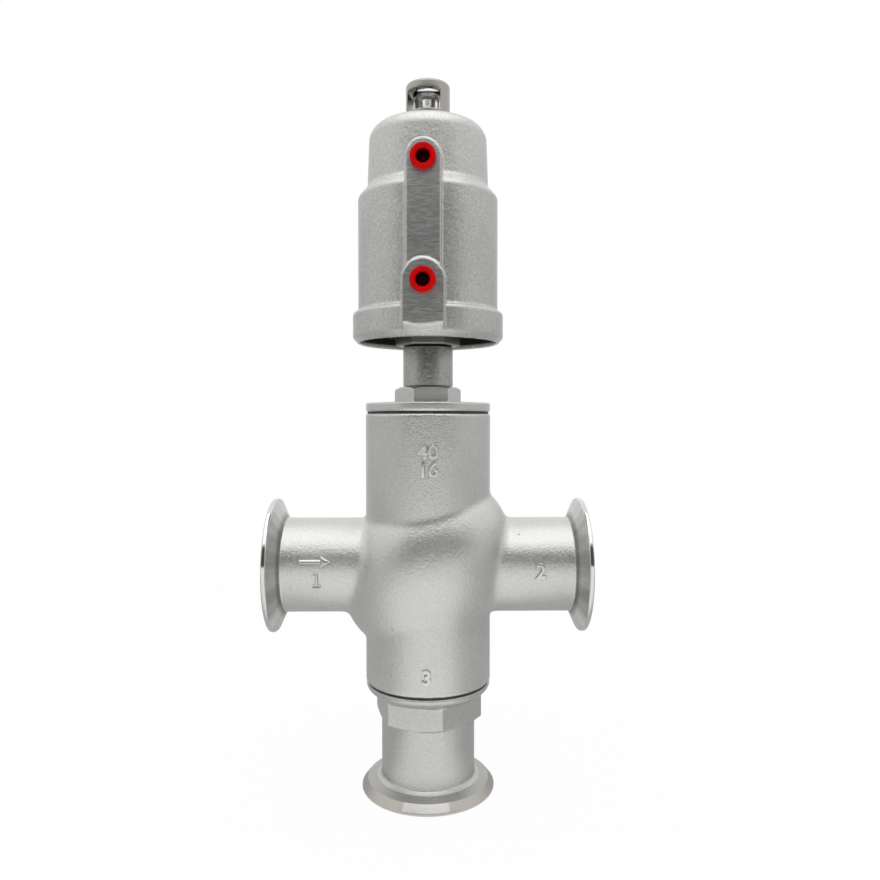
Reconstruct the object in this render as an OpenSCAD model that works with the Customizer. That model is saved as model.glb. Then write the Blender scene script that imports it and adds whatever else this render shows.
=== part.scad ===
// Three way valve with clamp ferrule ports and a spring return piston actuator.
// Millimetres. The origin is the centre of the bottom port's face, +Z runs up the stem,
// +X points at the right hand port, and the air ports face -Y.

/* [Ports] */
// Distance between the faces of the two side ports
face_to_face = 149; // [140:1:200]
// Height of the side ports' axis above the bottom port's face
port_height = 108; // [104:1:140]
// Outside diameter of a clamp ferrule
ferrule_d = 64; // [60:0.5:80]
// Outside diameter of a port neck
port_d = 45; // [43:0.5:54]
// Bore through a port
bore_d = 38; // [30:0.5:39]
// Thickness of a ferrule's rim
rim_t = 3.2; // [2.5:0.1:4]
// Depth of a ferrule from its face to the end of its back cone
ferrule_h = 9.2; // [8:0.1:12]
// Straight neck of a side ferrule between its cone and the weld
ferrule_stub = 1.7; // [1:0.1:4]

/* [Body] */
// Outside diameter of the upright barrel
barrel_d = 60; // [58:0.5:74]
// Wall of the barrel
barrel_wall = 6; // [5:0.25:7]
// How far the cast belly stands out of the barrel
belly_out = 4; // [3:0.25:6]
// How far each lobe of the belly lies from the port axis, sideways
lobe_x = 7.5; // [6:0.25:10]
// How far each lobe of the belly lies from the port axis, up or down
lobe_z = 8; // [6:0.25:10]
// Height of the barrel above the side ports' axis
barrel_rise = 72.9; // [65:0.5:90]
// Slope of the partition between the two chambers, in degrees
partition_slope = 34; // [30:1:38]
// Thickness of the partition
partition_t = 6; // [5:0.25:7]

/* [Seats and plug] */
// Bore of both valve seats
seat_d = 32; // [26:0.5:33]
// Width of the flat ring on which the plug seals
seat_w = 2.8; // [2:0.1:3.5]
// Depth of the upper seat below the side ports' axis
seat_drop = 16; // [15:0.5:18]
// Travel of the plug from the upper seat to the lower one
stroke = 12; // [9:0.5:14.5]
// Thickness of each seal disc
disc_t = 3; // [2.5:0.1:4]
// Thickness of the plug's steel web between the discs
web_t = 5; // [4:0.25:6]

/* [Bottom end cap] */
// Height of the end cap from the ferrule face to its flange
end_cap_h = 51.8; // [50:0.1:62]
// Width across the flats of the end cap's hexagon
cap_hex_af = 46; // [45:0.5:50]
// Height of the end cap's hexagon
cap_hex_h = 11; // [8:0.5:14]
// Thickness of the flat seals at both ends of the barrel
seam_t = 1; // [0.8:0.1:1.5]

/* [Bonnet and neck] */
// Thickness of the bonnet's flange
bonnet_t = 4.2; // [3.5:0.1:6]
// Width across the flats of the bonnet's hexagon
bonnet_hex_af = 28; // [27:0.5:34]
// Height of the bonnet's hexagon
bonnet_hex_h = 7.5; // [6:0.5:10]
// Outside diameter of the neck tube
neck_d = 24; // [23:0.5:27]
// Length of the neck tube between the bonnet and the actuator
neck_h = 17.4; // [15:0.1:24]
// Diameter of the stem
stem_d = 10; // [8:0.5:11]

/* [Actuator] */
// Outside diameter of the skirt ring
skirt_d = 72; // [70:0.5:86]
// Outside diameter of the cylinder
cylinder_d = 66.8; // [65:0.1:80]
// Outside diameter of the spring housing at its foot
housing_d = 57.4; // [54:0.1:64]
// Bore that the piston runs in
piston_bore = 58; // [54:0.5:60]
// Height of the skirt's opening above the neck tube's shoulder
skirt_gap = 3.5; // [2:0.1:5]
// Height of the skirt ring
skirt_h = 14.7; // [13:0.1:18]
// Height of the cylinder's shoulder above the skirt's lower edge
shoulder_z = 66.5; // [64:0.5:80]
// Height of the housing's top above the skirt's lower edge
housing_h = 106.3; // [100:0.1:130]
// Turn of the actuator on the valve, in degrees
actuator_turn = -3.5; // [-180:0.5:180]
// Length of the return spring with the plug up
spring_len = 33; // [30:0.5:38]
// Wire of the return spring
spring_wire = 4; // [3:0.25:4.25]
// Thickness of the piston
piston_h = 12; // [10:0.5:13]

/* [Air ports] */
// Height of the lower air port above the skirt's lower edge
air_low_z = 24; // [23:0.5:28]
// Height of the upper air port above the skirt's lower edge
air_high_z = 77.5; // [76:0.5:84]
// Width of the long rib that carries the air ports
rib_w = 15.8; // [14:0.2:19]
// Width of the boss round the lower air port
boss_w = 19; // [17:0.2:22]
// Distance of the long rib's face from the stem's axis
rib_y = 35.5; // [34.5:0.1:42]
// Distance of the lower boss's face from the stem's axis
boss_y = 38; // [37:0.1:46]
// Diameter of the threaded air ports
air_d = 8.6; // [7:0.1:9]

/* [Indicator] */
// Outside diameter of the guard over the sight dome
guard_d = 21; // [20:0.5:24]
// Height of the guard above the housing
guard_h = 16.6; // [16:0.1:20]
// Width of the windows milled through the guard
window_w = 16; // [14:0.5:17]
// Turn of the windows from the front, in degrees
window_turn = -18; // [-90:1:90]
// Diameter of the indicator rod
rod_d = 7.2; // [6:0.1:7.4]

/* [Hidden] */

$fn = 96;
eps = 0.01;

// Clearances: a running fit, a fit between fixed pieces, and a gap between faces.
run_fit = 0.05;
still_fit = 0.05;
face_gap = 0.1;

ferrule_r = ferrule_d / 2;
port_r = port_d / 2;
bore_r = bore_d / 2;
barrel_r = barrel_d / 2;
chamber_r = barrel_r - barrel_wall;
belly_r = barrel_r + belly_out;
// The cast passage behind a side ferrule is slightly wider than its turned bore.
passage_r = bore_r + 0.6;
cone_blend = 0.6;
ferrule_len = ferrule_h + cone_blend + ferrule_stub;
neck_end = face_to_face / 2 - ferrule_len;
lobe_wall = barrel_wall - 1;
groove_r = ferrule_r - 3.8;
stem_r = stem_d / 2;
stem_end_r = stem_r - 1;
seat_r = seat_d / 2;
disc_r = seat_r + seat_w;
// The boss that carries the upper seat, and the room for the plug beneath it.
seat_boss_r = disc_r + 3;
plug_room_r = seat_boss_r - 0.3;
disc_bore_r = stem_end_r + still_fit;
clamp_r = seat_r - 4;
clamp_t = 2;

// Heights of the valve, from the bottom port's face up.
body_z = end_cap_h + seam_t;
body_top = port_height + barrel_rise;
upper_seat_z = port_height - seat_drop;
plug_h = 2 * disc_t + web_t;
lower_seat_z = upper_seat_z - plug_h - stroke - 2 * face_gap;
plug_top = upper_seat_z - face_gap;
plug_z = plug_top - plug_h;
seat_rim_h = 4;
spigot_top = lower_seat_z - seat_rim_h;
bonnet_z = body_top + seam_t;
bonnet_hex_z = bonnet_z + bonnet_t;
neck_z = bonnet_hex_z + bonnet_hex_h;
neck_top = neck_z + neck_h;
act_z = neck_top + skirt_gap;

// Bonnet and neck, inside.
spigot_r = chamber_r - still_fit;
spigot_h = 14;
seam_r = barrel_r - 0.8;
neck_r = neck_d / 2;
neck_thread_r = neck_r - 1.5;
neck_socket_z = bonnet_z - 10;
neck_bore_r = neck_r - 4;
neck_foot_z = neck_socket_z + 0.3;
packing_z = neck_foot_z + 3;
bush_h = 6;
ring_h = 2.4;
ring_count = 5;
ring_lift = 1.2;
rings_z = packing_z + bush_h;
follower_z = rings_z + ring_count * ring_h + ring_lift;
follower_h = 2;
packing_spring_z = follower_z + follower_h;
neck_spigot_r = neck_r - 2.6;
gland_h = 9;
base_hex_z = act_z - 1.1;
base_z = act_z + 7.5;
base_h = 10;
base_top = base_z + base_h;
neck_spigot_top = base_z + 2.5;
gland_z = neck_top - gland_h + 2;

// Actuator.
skirt_r = skirt_d / 2;
cylinder_r = cylinder_d / 2;
housing_r = housing_d / 2;
piston_bore_r = piston_bore / 2;
skirt_bore_r = skirt_r - 3;
base_r = skirt_bore_r - run_fit;
base_hex_af = 27;
clip_t = 1.6;
clip_w = 3.9;
clip_z = base_z - face_gap - clip_t;
spring_bore_r = housing_r - 5.2;
bore_top = act_z + shoulder_z + 0.5;
roof_t = 9;
roof_z = act_z + housing_h - roof_t;
piston_z = base_top + spring_len;
piston_r = piston_bore_r - 0.35;
spring_r = piston_bore_r - 7;
spring_turns = 4.5;
stem_top = piston_z + piston_h + 8.2;
nut_af = 13;
nut_h = 6;
washer_t = 1.6;

// Indicator.
guard_r = guard_d / 2;
guard_z = act_z + housing_h;
guard_top = guard_z + guard_h;
guard_thread_r = guard_r - 0.7;
guard_bore_r = guard_r - 3.2;
rod_r = rod_d / 2;
dome_r = guard_bore_r - 0.3;
dome_bore_r = dome_r - 2.3;
dome_flange_r = guard_r - 2.1;
socket_h = 5;
gasket_t = 1;
dome_z = guard_z - socket_h + gasket_t;
dome_flange_h = 2;
dome_top = guard_top - 2.3;
window_z = guard_z + 2.7;
window_h = 9.9;
rod_top = guard_z + 11;
rod_seal_section = 2;
rod_seal_z = roof_z + 1.5 + rod_seal_section / 2 + 0.15;

function arc(cx, cy, r, from, to, steps) = [
  for (i = [0:steps])
    let (a = from + (to - from) * i / steps)
      [cx + r * cos(a), cy + r * sin(a)]
];

// A closed coil spring of round wire: rings of points swept along a helix that is flat
// at both ends, where the turns lie close.
module coil_spring(r, wire, turns, length, steps = 16, sides = 8) {
  wire_r = wire / 2;
  count = round(turns * steps);
  rise = length - wire;
  dead = 0.75;
  function lift(t) = t < dead ? t * wire : t > turns - dead ? rise - (turns - t) * wire
    : dead * wire + (rise - 2 * dead * wire) * (t - dead) / (turns - 2 * dead);
  points = [
    for (i = [0:count], k = [0:sides - 1])
      let (t = i / steps, a = 360 * t, b = 360 * k / sides, q = r + wire_r * cos(b))
        [q * cos(a), q * sin(a), wire_r + lift(t) + wire_r * sin(b)]
  ];
  walls = [
    for (i = [0:count - 1], k = [0:sides - 1])
      let (m = (k + 1) % sides)
        [i * sides + k, i * sides + m, (i + 1) * sides + m, (i + 1) * sides + k]
  ];
  first = [for (k = [sides - 1:-1:0]) k];
  last = [for (k = [0:sides - 1]) count * sides + k];
  polyhedron(concat(points), concat(walls, [first, last]), convexity = 10);
}

// A disc seal or washer: a flat ring from z up.
module flat_ring(outer, inner, z, height) {
  translate([0, 0, z])
    difference() {
      cylinder(r = outer, h = height);
      translate([0, 0, -eps])
        cylinder(r = inner, h = height + 2 * eps);
    }
}

// A ring of round section at radius r and height z.
module round_ring(r, z, section) {
  translate([0, 0, z])
    rotate_extrude()
      translate([r, 0])
        circle(d = section, $fn = 24);
}

// A hexagon of the given width across its flats, with both ends' corners turned off.
module hexagon(af, height, turn = 0, top = 1, bottom = 1) {
  corner = af / 2 / cos(30);
  cut = corner - af / 2;
  turned = corner + 0.02;
  intersection() {
    rotate([0, 0, turn])
      cylinder(r = corner, h = height, $fn = 6);
    rotate_extrude()
      polygon([
        [0, 0], [turned - cut * bottom, 0], [turned, 0.6 * cut * bottom],
        [turned, height - 0.6 * cut * top], [turned - cut * top, height], [0, height]
      ]);
  }
}

// A clamp ferrule with its face at the origin, facing -Z, and a length of neck.
module ferrule(neck_len) {
  soft = 0.5;
  rotate_extrude()
    polygon([
      [0, 0], [ferrule_r - soft, 0], [ferrule_r, soft], [ferrule_r, rim_t - soft],
      [ferrule_r - soft, rim_t], [port_r + 0.8, ferrule_h - 0.5], [port_r, ferrule_h + cone_blend],
      [port_r, neck_len], [0, neck_len]
    ]);
}

// The port bore and the gasket groove of a ferrule, in the same place.
module ferrule_cut(bore_len) {
  translate([0, 0, -1])
    cylinder(r = bore_r, h = bore_len + 1);
  rotate_extrude()
    translate([groove_r, -0.9])
      circle(r = 2.5, $fn = 32);
}

// Puts a ferrule's shape on the left port (side -1) or the right one (side 1).
module at_port(side) {
  translate([side * face_to_face / 2, 0, port_height])
    rotate([0, -side * 90, 0])
      children();
}

// Everything above the sloped partition.
module above_partition() {
  big = 200;
  translate([0, 0, port_height])
    rotate([0, partition_slope, 0])
      translate([-big / 2, -big / 2, partition_t / 2])
        cube([big, big, big]);
}

// The cast belly round the seat: a band round the barrel with a lobe high on the right,
// where the passage climbs to the upper chamber, and its twin low on the left.
module belly() {
  translate([0, 0, port_height])
    hull() {
      cylinder(r = barrel_r + 0.5, h = port_d + 1, center = true, $fn = 48);
      cylinder(r = belly_r, h = port_d - 10, center = true, $fn = 48);
      for (side = [-1, 1])
        translate([side * lobe_x, 0, side * lobe_z])
          sphere(r = belly_r, $fn = 40);
    }
}

module barrel() {
  edge = 0.4;
  rotate_extrude()
    polygon([
      [0, body_z], [barrel_r - edge, body_z], [barrel_r, body_z + edge],
      [barrel_r, body_top - edge], [barrel_r - edge, body_top], [0, body_top]
    ]);
}

// The room inside the body: the upright chamber, the belly's two lobes and the passages.
module cavity(inset) {
  lobe = belly_r - lobe_wall - inset;
  translate([0, 0, body_z - 1])
    cylinder(r = chamber_r - inset, h = body_top - body_z + 2);
  for (side = [-1, 1])
    translate([side * lobe_x, 0, port_height + side * lobe_z])
      sphere(r = lobe);
  translate([-face_to_face / 2, 0, port_height])
    rotate([0, 90, 0])
      cylinder(r = passage_r - inset, h = face_to_face);
}

module valve_body() {
  color("silver")
    difference() {
      union() {
        barrel();
        belly();
        translate([-neck_end, 0, port_height])
          rotate([0, 90, 0])
            cylinder(r = port_r, h = 2 * neck_end);
      }
      cavity(0);
    }
}

// The sloped web that parts the lower chamber from the upper one, and its seat.
module seat_partition() {
  span = 2 * belly_r + port_d;
  color("silver")
    difference() {
      intersection() {
        cavity(still_fit);
        union() {
          translate([0, 0, port_height])
            rotate([0, partition_slope, 0])
              cube([span, span, partition_t], center = true);
          translate([0, 0, upper_seat_z])
            cylinder(r = seat_boss_r, h = port_d);
        }
      }
      above_partition();
      // The plug's own room under the seat, and the seat's bore.
      translate([0, 0, body_z])
        cylinder(r = plug_room_r, h = upper_seat_z - body_z);
      translate([0, 0, upper_seat_z - 1])
        cylinder(r = seat_r, h = port_d);
    }
}

module side_ferrule() {
  difference() {
    ferrule(ferrule_len);
    ferrule_cut(ferrule_len + 1);
  }
}

module port_a_ferrule() {
  color("silver")
    at_port(-1)
      side_ferrule();
}

module port_b_ferrule() {
  color("silver")
    at_port(1)
      side_ferrule();
}

module end_cap_c() {
  hex_top = end_cap_h - 4.8;
  hex_z = hex_top - cap_hex_h;
  edge = 0.6;
  color("silver")
    difference() {
      union() {
        ferrule(hex_z + 1);
        translate([0, 0, hex_z])
          rotate([0, 0, -76])
            cylinder(r = cap_hex_af / 2 / cos(30), h = cap_hex_h + 1, $fn = 6);
        rotate_extrude()
          polygon(concat(
            [[0, hex_top - 0.8], [cap_hex_af / 2 + 3, hex_top - 0.8]],
            arc(barrel_r - 2.6, end_cap_h - 2.8, 2.6, -50, 0, 4),
            [[barrel_r, end_cap_h - edge], [barrel_r - edge, end_cap_h],
             [0, end_cap_h]]
          ));
        translate([0, 0, end_cap_h - 1])
          cylinder(r = spigot_r, h = spigot_top - end_cap_h + 1);
        rotate_extrude()
          polygon([
            [0, spigot_top - 1], [disc_r + 1, spigot_top - 1], [disc_r + 1, spigot_top],
            [disc_r, lower_seat_z - 0.4], [disc_r - 0.4, lower_seat_z], [0, lower_seat_z]
          ]);
      }
      ferrule_cut(spigot_top - 7);
      // The bore narrows by a cone to the lower seat.
      rotate_extrude()
        polygon([
          [0, spigot_top - 7], [bore_r, spigot_top - 7], [seat_r, spigot_top - 1],
          [seat_r, lower_seat_z + 1], [0, lower_seat_z + 1]
        ]);
    }
}

module end_cap_seal() {
  color("black")
    flat_ring(seam_r, chamber_r + 0.2, end_cap_h, seam_t);
}

module bonnet_cover() {
  edge = 0.8;
  color("silver")
    difference() {
      union() {
        rotate_extrude()
          polygon([
            [0, bonnet_z - spigot_h], [spigot_r - 1, bonnet_z - spigot_h],
            [spigot_r, bonnet_z - spigot_h + 1], [spigot_r, bonnet_z],
            [barrel_r - edge, bonnet_z], [barrel_r, bonnet_z + edge],
            [barrel_r, bonnet_hex_z - edge], [barrel_r - edge, bonnet_hex_z],
            [0, bonnet_hex_z]
          ]);
        translate([0, 0, bonnet_hex_z - 1])
          hexagon(bonnet_hex_af, bonnet_hex_h + 1, turn = 7.5, bottom = 0);
      }
      translate([0, 0, neck_socket_z])
        cylinder(r = neck_thread_r + still_fit, h = 60);
      translate([0, 0, bonnet_z - spigot_h - 1])
        cylinder(r = stem_r + 1, h = 60);
    }
}

module bonnet_seal() {
  color("black")
    flat_ring(seam_r, chamber_r + 0.2, body_top, seam_t);
}

module neck_tube() {
  edge = 0.5;
  color("gray")
    difference() {
      rotate_extrude()
        polygon([
          [0, neck_foot_z], [neck_thread_r, neck_foot_z], [neck_thread_r, neck_z],
          [neck_r - edge, neck_z + 0.2], [neck_r, neck_z + edge + 0.2],
          [neck_r, neck_top - edge], [neck_r - edge, neck_top], [neck_spigot_r, neck_top],
          [neck_spigot_r, neck_spigot_top], [0, neck_spigot_top]
        ]);
      translate([0, 0, neck_foot_z - 1])
        cylinder(r = stem_r + run_fit, h = 60);
      translate([0, 0, packing_z])
        cylinder(r = neck_bore_r, h = 60);
    }
}

module lower_guide_bush() {
  color("khaki")
    flat_ring(neck_bore_r - still_fit, stem_r + run_fit, packing_z, bush_h);
}

// Chevron rings: each nests in the one below, lips down.
module packing_rings() {
  inner = stem_r + 0.04;
  outer = neck_bore_r - 0.04;
  middle = (inner + outer) / 2;
  color("white")
    for (i = [0:ring_count - 1])
      translate([0, 0, rings_z + i * ring_h])
        rotate_extrude()
          polygon([
            [inner, 0], [middle, ring_lift], [outer, 0],
            [outer, ring_h - face_gap / 2], [middle, ring_h + ring_lift - face_gap / 2],
            [inner, ring_h - face_gap / 2]
          ]);
}

module packing_follower() {
  color("gray")
    flat_ring(neck_bore_r - still_fit, stem_r + 0.3, follower_z, follower_h);
}

module packing_spring() {
  wire = (neck_bore_r - stem_r) / 2;
  color("gray")
    translate([0, 0, packing_spring_z])
      coil_spring(neck_bore_r - wire / 2 - 0.65, wire, 3.5,
                  gland_z - packing_spring_z - face_gap / 2, 14, 8);
}

// Threaded gland that closes the packing, with the wiper's lip at its mouth.
module gland_bush() {
  color("khaki")
    difference() {
      flat_ring(neck_bore_r - still_fit, stem_r + run_fit, gland_z, gland_h);
      round_ring(stem_r + 0.6, gland_z + gland_h / 2, 1.6);
    }
}

module cylinder_base() {
  groove_w = 2.7;
  groove_z = base_z + base_h / 2;
  color("silver")
    difference() {
      union() {
        rotate_extrude()
          polygon([
            [0, base_z], [base_r - 0.6, base_z], [base_r, base_z + 0.6],
            [base_r, base_top - 0.6], [base_r - 0.6, base_top],
            [spring_r - spring_wire, base_top], [spring_r - spring_wire - 1, base_top + 3],
            [0, base_top + 3]
          ]);
        translate([0, 0, base_hex_z])
          hexagon(base_hex_af, base_z - base_hex_z + 1, turn = 0, top = 0);
      }
      translate([0, 0, base_hex_z - 1])
        cylinder(r = neck_spigot_r + still_fit, h = neck_spigot_top - base_hex_z + 1.3);
      translate([0, 0, base_hex_z])
        cylinder(r = stem_r + run_fit, h = 60);
      translate([0, 0, base_top - 3])
        cylinder(r = stem_r + 2.6, h = 2.7);
      flat_ring(base_r + 1, base_r - 2.5, groove_z - groove_w / 2, groove_w);
    }
}

module base_rim_seal() {
  section = 2.44;
  color("black")
    round_ring(skirt_bore_r - section / 2 - 0.04, base_z + base_h / 2, section);
}

module base_stem_seal() {
  section = 2.5;
  color("black")
    round_ring(stem_r + section / 2 + 0.02, base_top - 1.65, section);
}

module return_spring() {
  color("dimgray")
    translate([0, 0, base_top])
      coil_spring(spring_r, spring_wire, spring_turns, spring_len - face_gap, 20, 8);
}

// Outline of the housing's outside, from the skirt up to the top.
function housing_outline() = concat(
  [[0, 0], [skirt_r, 0]],
  arc(skirt_r - 2, skirt_h - 2.6, 2, 0, 60, 4),
  [[cylinder_r, skirt_h + 0.3]],
  arc(cylinder_r - 4, shoulder_z + 1.2, 4, 0, 52, 5),
  [[housing_r + 0.5, shoulder_z + 9], [housing_r, shoulder_z + 10.4]],
  arc(housing_r - 1 - 9.2, housing_h - 11, 9.2, 0, 84, 8),
  [[guard_r + 1, housing_h], [0, housing_h]]
);

// A rib's outline: straight sides and a round top centred on an air port.
module rib(width, port_z, face_y) {
  rotate([90, 0, 0])
    linear_extrude(face_y)
      union() {
        translate([-width / 2, 0])
          square([width, port_z]);
        translate([0, port_z])
          circle(d = width);
      }
}

// A threaded air port: a blind hole in the rib and a small hole into the cylinder.
module air_port(z, face_y, inner) {
  translate([0, 0, z])
    rotate([90, 0, 0]) {
      translate([0, 0, face_y - 8.2])
        cylinder(d = air_d, h = 20, $fn = 48);
      translate([0, 0, inner - 3])
        cylinder(d = 4, h = face_y - inner, $fn = 32);
    }
}

module actuator_housing() {
  lip_r = skirt_bore_r + 0.6;
  lip_reach = 30;
  color("silver")
    rotate([0, 0, actuator_turn])
      translate([0, 0, act_z])
        difference() {
          union() {
            rotate_extrude()
              polygon(housing_outline());
            rib(rib_w, air_high_z, rib_y);
            rib(boss_w, air_low_z + 0.5, boss_y);
          }
          // The turned lip, which also trims the ribs' feet.
          rotate_extrude()
            polygon([[lip_r, -1], [lip_r, 0], [lip_r + lip_reach, lip_reach * 1.08],
                     [lip_r + lip_reach, -1]]);
          translate([0, 0, -1])
            cylinder(r = skirt_bore_r, h = base_top - act_z + face_gap + 1);
          flat_ring(skirt_bore_r + 1, skirt_bore_r - 1, clip_z - act_z - face_gap / 2,
                    clip_t + face_gap);
          cylinder(r = piston_bore_r, h = bore_top - act_z);
          cylinder(r = spring_bore_r, h = roof_z - act_z - 1);
          cylinder(r = spring_bore_r - 1, h = roof_z - act_z);
          // The indicator's bore, its seal groove and the guard's socket.
          cylinder(r = rod_r + run_fit, h = housing_h + 1);
          flat_ring(rod_r + 2.1, rod_r - 1, roof_z - act_z + 1.5, 2.3);
          translate([0, 0, housing_h - socket_h])
            cylinder(r = guard_thread_r + still_fit, h = socket_h + 1);
          translate([0, 0, housing_h - socket_h - 0.8])
            cylinder(r = dome_bore_r, h = 2);
          air_port(air_low_z, boss_y, piston_bore_r);
          air_port(air_high_z, rib_y, spring_bore_r);
        }
}

// Open snap ring with an eyelet at each end, in the skirt's groove.
module base_retaining_ring() {
  inner = skirt_bore_r + 0.9 - clip_w;
  color("dimgray")
    rotate([0, 0, actuator_turn + 90])
      translate([0, 0, clip_z])
        difference() {
          union() {
            flat_ring(skirt_bore_r + 0.9, inner, 0, clip_t);
            for (side = [-1, 1])
              rotate([0, 0, side * 12])
                translate([inner, 0, 0])
                  cylinder(r = 3, h = clip_t, $fn = 32);
          }
          for (side = [-1, 1])
            rotate([0, 0, side * 12])
              translate([inner - 0.6, 0, -1])
                cylinder(r = 1.1, h = 4, $fn = 24);
          translate([inner - 6, -2.6, -1])
            cube([20, 5.2, 4]);
        }
}

// Windows through both sides of the guard, with round upper corners.
module guard_windows() {
  corner = 1.5;
  translate([0, 0, window_z])
    rotate([0, 0, window_turn])
      rotate([90, 0, 0])
        translate([0, 0, -guard_r - 1])
          linear_extrude(guard_d + 2)
            union() {
              translate([-window_w / 2, 0])
                square([window_w, window_h - corner]);
              translate([-window_w / 2 + corner, 0])
                square([window_w - 2 * corner, window_h]);
              for (side = [-1, 1])
                translate([side * (window_w / 2 - corner), window_h - corner])
                  circle(r = corner, $fn = 24);
            }
}

module indicator_guard() {
  foot = guard_z - socket_h + gasket_t + dome_flange_h;
  color("silver")
    difference() {
      rotate_extrude()
        polygon(concat(
          [[0, guard_z - socket_h + 0.3], [guard_thread_r, guard_z - socket_h + 0.3],
           [guard_thread_r, guard_z + face_gap], [guard_r, guard_z + face_gap]],
          arc(guard_r - 1.4, guard_top - 1.4, 1.4, 0, 90, 4),
          [[0, guard_top]]
        ));
      translate([0, 0, guard_z - socket_h - 1])
        cylinder(r = dome_flange_r + still_fit, h = foot - guard_z + socket_h + 1);
      translate([0, 0, guard_z - socket_h])
        cylinder(r = guard_bore_r, h = dome_top + 0.3 - guard_z + socket_h);
      guard_windows();
    }
}

module sight_dome() {
  crown = 2;
  color("aliceblue", 0.5)
    difference() {
      rotate_extrude()
        polygon(concat(
          [[0, dome_z], [dome_flange_r, dome_z],
           [dome_flange_r, dome_z + dome_flange_h - still_fit],
           [dome_r, dome_z + dome_flange_h - still_fit]],
          arc(dome_r - crown, dome_top - crown, crown, 0, 90, 5),
          [[0, dome_top]]
        ));
      translate([0, 0, dome_z - 1])
        cylinder(r = dome_bore_r, h = rod_top + 1 - dome_z + 1);
    }
}

module sight_dome_gasket() {
  color("black")
    flat_ring(dome_flange_r - 0.2, dome_bore_r + 0.4, guard_z - socket_h, gasket_t);
}

module indicator_rod_seal() {
  color("black")
    round_ring(rod_r + run_fit + rod_seal_section / 2, rod_seal_z, rod_seal_section);
}

// The stem: a spigot for the plug, the long shank, a spigot for the piston and a pin for
// the indicator rod.
module stem() {
  foot = plug_z - clamp_t - nut_h - 2;
  color("lightgray")
    rotate_extrude()
      polygon([
        [0, foot], [stem_end_r - 0.8, foot], [stem_end_r, foot + 0.8],
        [stem_end_r, plug_top + clamp_t], [stem_r - 0.5, plug_top + clamp_t],
        [stem_r, plug_top + clamp_t + 0.5], [stem_r, piston_z],
        [stem_end_r, piston_z], [stem_end_r, stem_top], [2, stem_top],
        [2, stem_top + 5], [0, stem_top + 5]
      ]);
}

module plug_holder() {
  color("lightgray")
    difference() {
      union() {
        translate([0, 0, plug_z + disc_t])
          cylinder(r = disc_r, h = web_t);
        translate([0, 0, plug_z + 0.2])
          cylinder(r = stem_end_r + 3, h = plug_h - 0.4);
      }
      translate([0, 0, plug_z - 1])
        cylinder(r = stem_end_r + still_fit, h = plug_h + 2);
    }
}

module upper_seal_disc() {
  color("white")
    flat_ring(disc_r, stem_end_r + 3 + still_fit, plug_top - disc_t, disc_t);
}

module lower_seal_disc() {
  color("white")
    flat_ring(disc_r, stem_end_r + 3 + still_fit, plug_z, disc_t);
}

module upper_clamp_washer() {
  color("lightgray")
    flat_ring(clamp_r, stem_end_r + still_fit, plug_top, clamp_t);
}

module lower_clamp_washer() {
  color("lightgray")
    flat_ring(clamp_r, stem_end_r + still_fit, plug_z - clamp_t, clamp_t);
}

// A nut, bored to the stem's spigot.
module stem_nut(z) {
  translate([0, 0, z])
    difference() {
      hexagon(nut_af, nut_h);
      translate([0, 0, -1])
        cylinder(r = stem_end_r + still_fit, h = nut_h + 2);
    }
}

module plug_nut() {
  color("lightgray")
    stem_nut(plug_z - clamp_t - nut_h);
}

// The piston: grooves for its seal and guide ring, a skirt that centres the spring and a
// recess above for the nut.
module piston() {
  top = piston_z + piston_h;
  recess = 2;
  color("gainsboro")
    difference() {
      rotate_extrude()
        polygon([
          [stem_end_r + still_fit, piston_z], [spring_r - spring_wire, piston_z],
          [spring_r - spring_wire, piston_z], [spring_r + spring_wire, piston_z],
          [piston_r - 0.8, piston_z], [piston_r, piston_z + 0.8], [piston_r, top - 0.8],
          [piston_r - 0.8, top], [spring_bore_r - 4, top], [spring_bore_r - 6, top - recess],
          [stem_end_r + still_fit, top - recess]
        ]);
      flat_ring(piston_r + 1, piston_r - 2.7, top - 4.6, 3);
      flat_ring(piston_r + 1, piston_r - 1.6, piston_z + 1.6, 3.6);
    }
}

module piston_seal() {
  section = 2.8;
  color("black")
    round_ring(piston_bore_r - 0.04 - section / 2, piston_z + piston_h - 3.1, section);
}

module piston_guide_ring() {
  color("khaki")
    flat_ring(piston_bore_r - 0.06, piston_r - 1.55, piston_z + 1.65, 3.5);
}

module piston_washer() {
  color("lightgray")
    flat_ring(stem_end_r + 5, stem_end_r + still_fit, piston_z + piston_h - 2, washer_t);
}

module piston_nut() {
  color("lightgray")
    stem_nut(piston_z + piston_h - 2 + washer_t);
}

// Indicator rod with a bevelled head, screwed on the stem's pin.
module indicator_rod() {
  head_r = dome_bore_r - 0.5;
  // The head stops short of the rod's seal at the end of the stroke.
  head_h = rod_top - stroke - rod_seal_z - rod_seal_section / 2 - 0.75;
  head_top = min(1.6, head_h * 0.45);
  head_foot = min(0.6, head_h / 6);
  color("white")
    difference() {
      rotate_extrude()
        polygon([
          [0, stem_top + face_gap], [rod_r - 0.5, stem_top + face_gap],
          [rod_r, stem_top + 0.6], [rod_r, rod_top - head_h],
          [head_r, rod_top - head_h + head_foot], [head_r, rod_top - head_top],
          [head_r - head_top, rod_top], [0, rod_top]
        ]);
      translate([0, 0, stem_top - 1])
        cylinder(r = 2 + still_fit, h = 6.5);
    }
}

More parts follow.
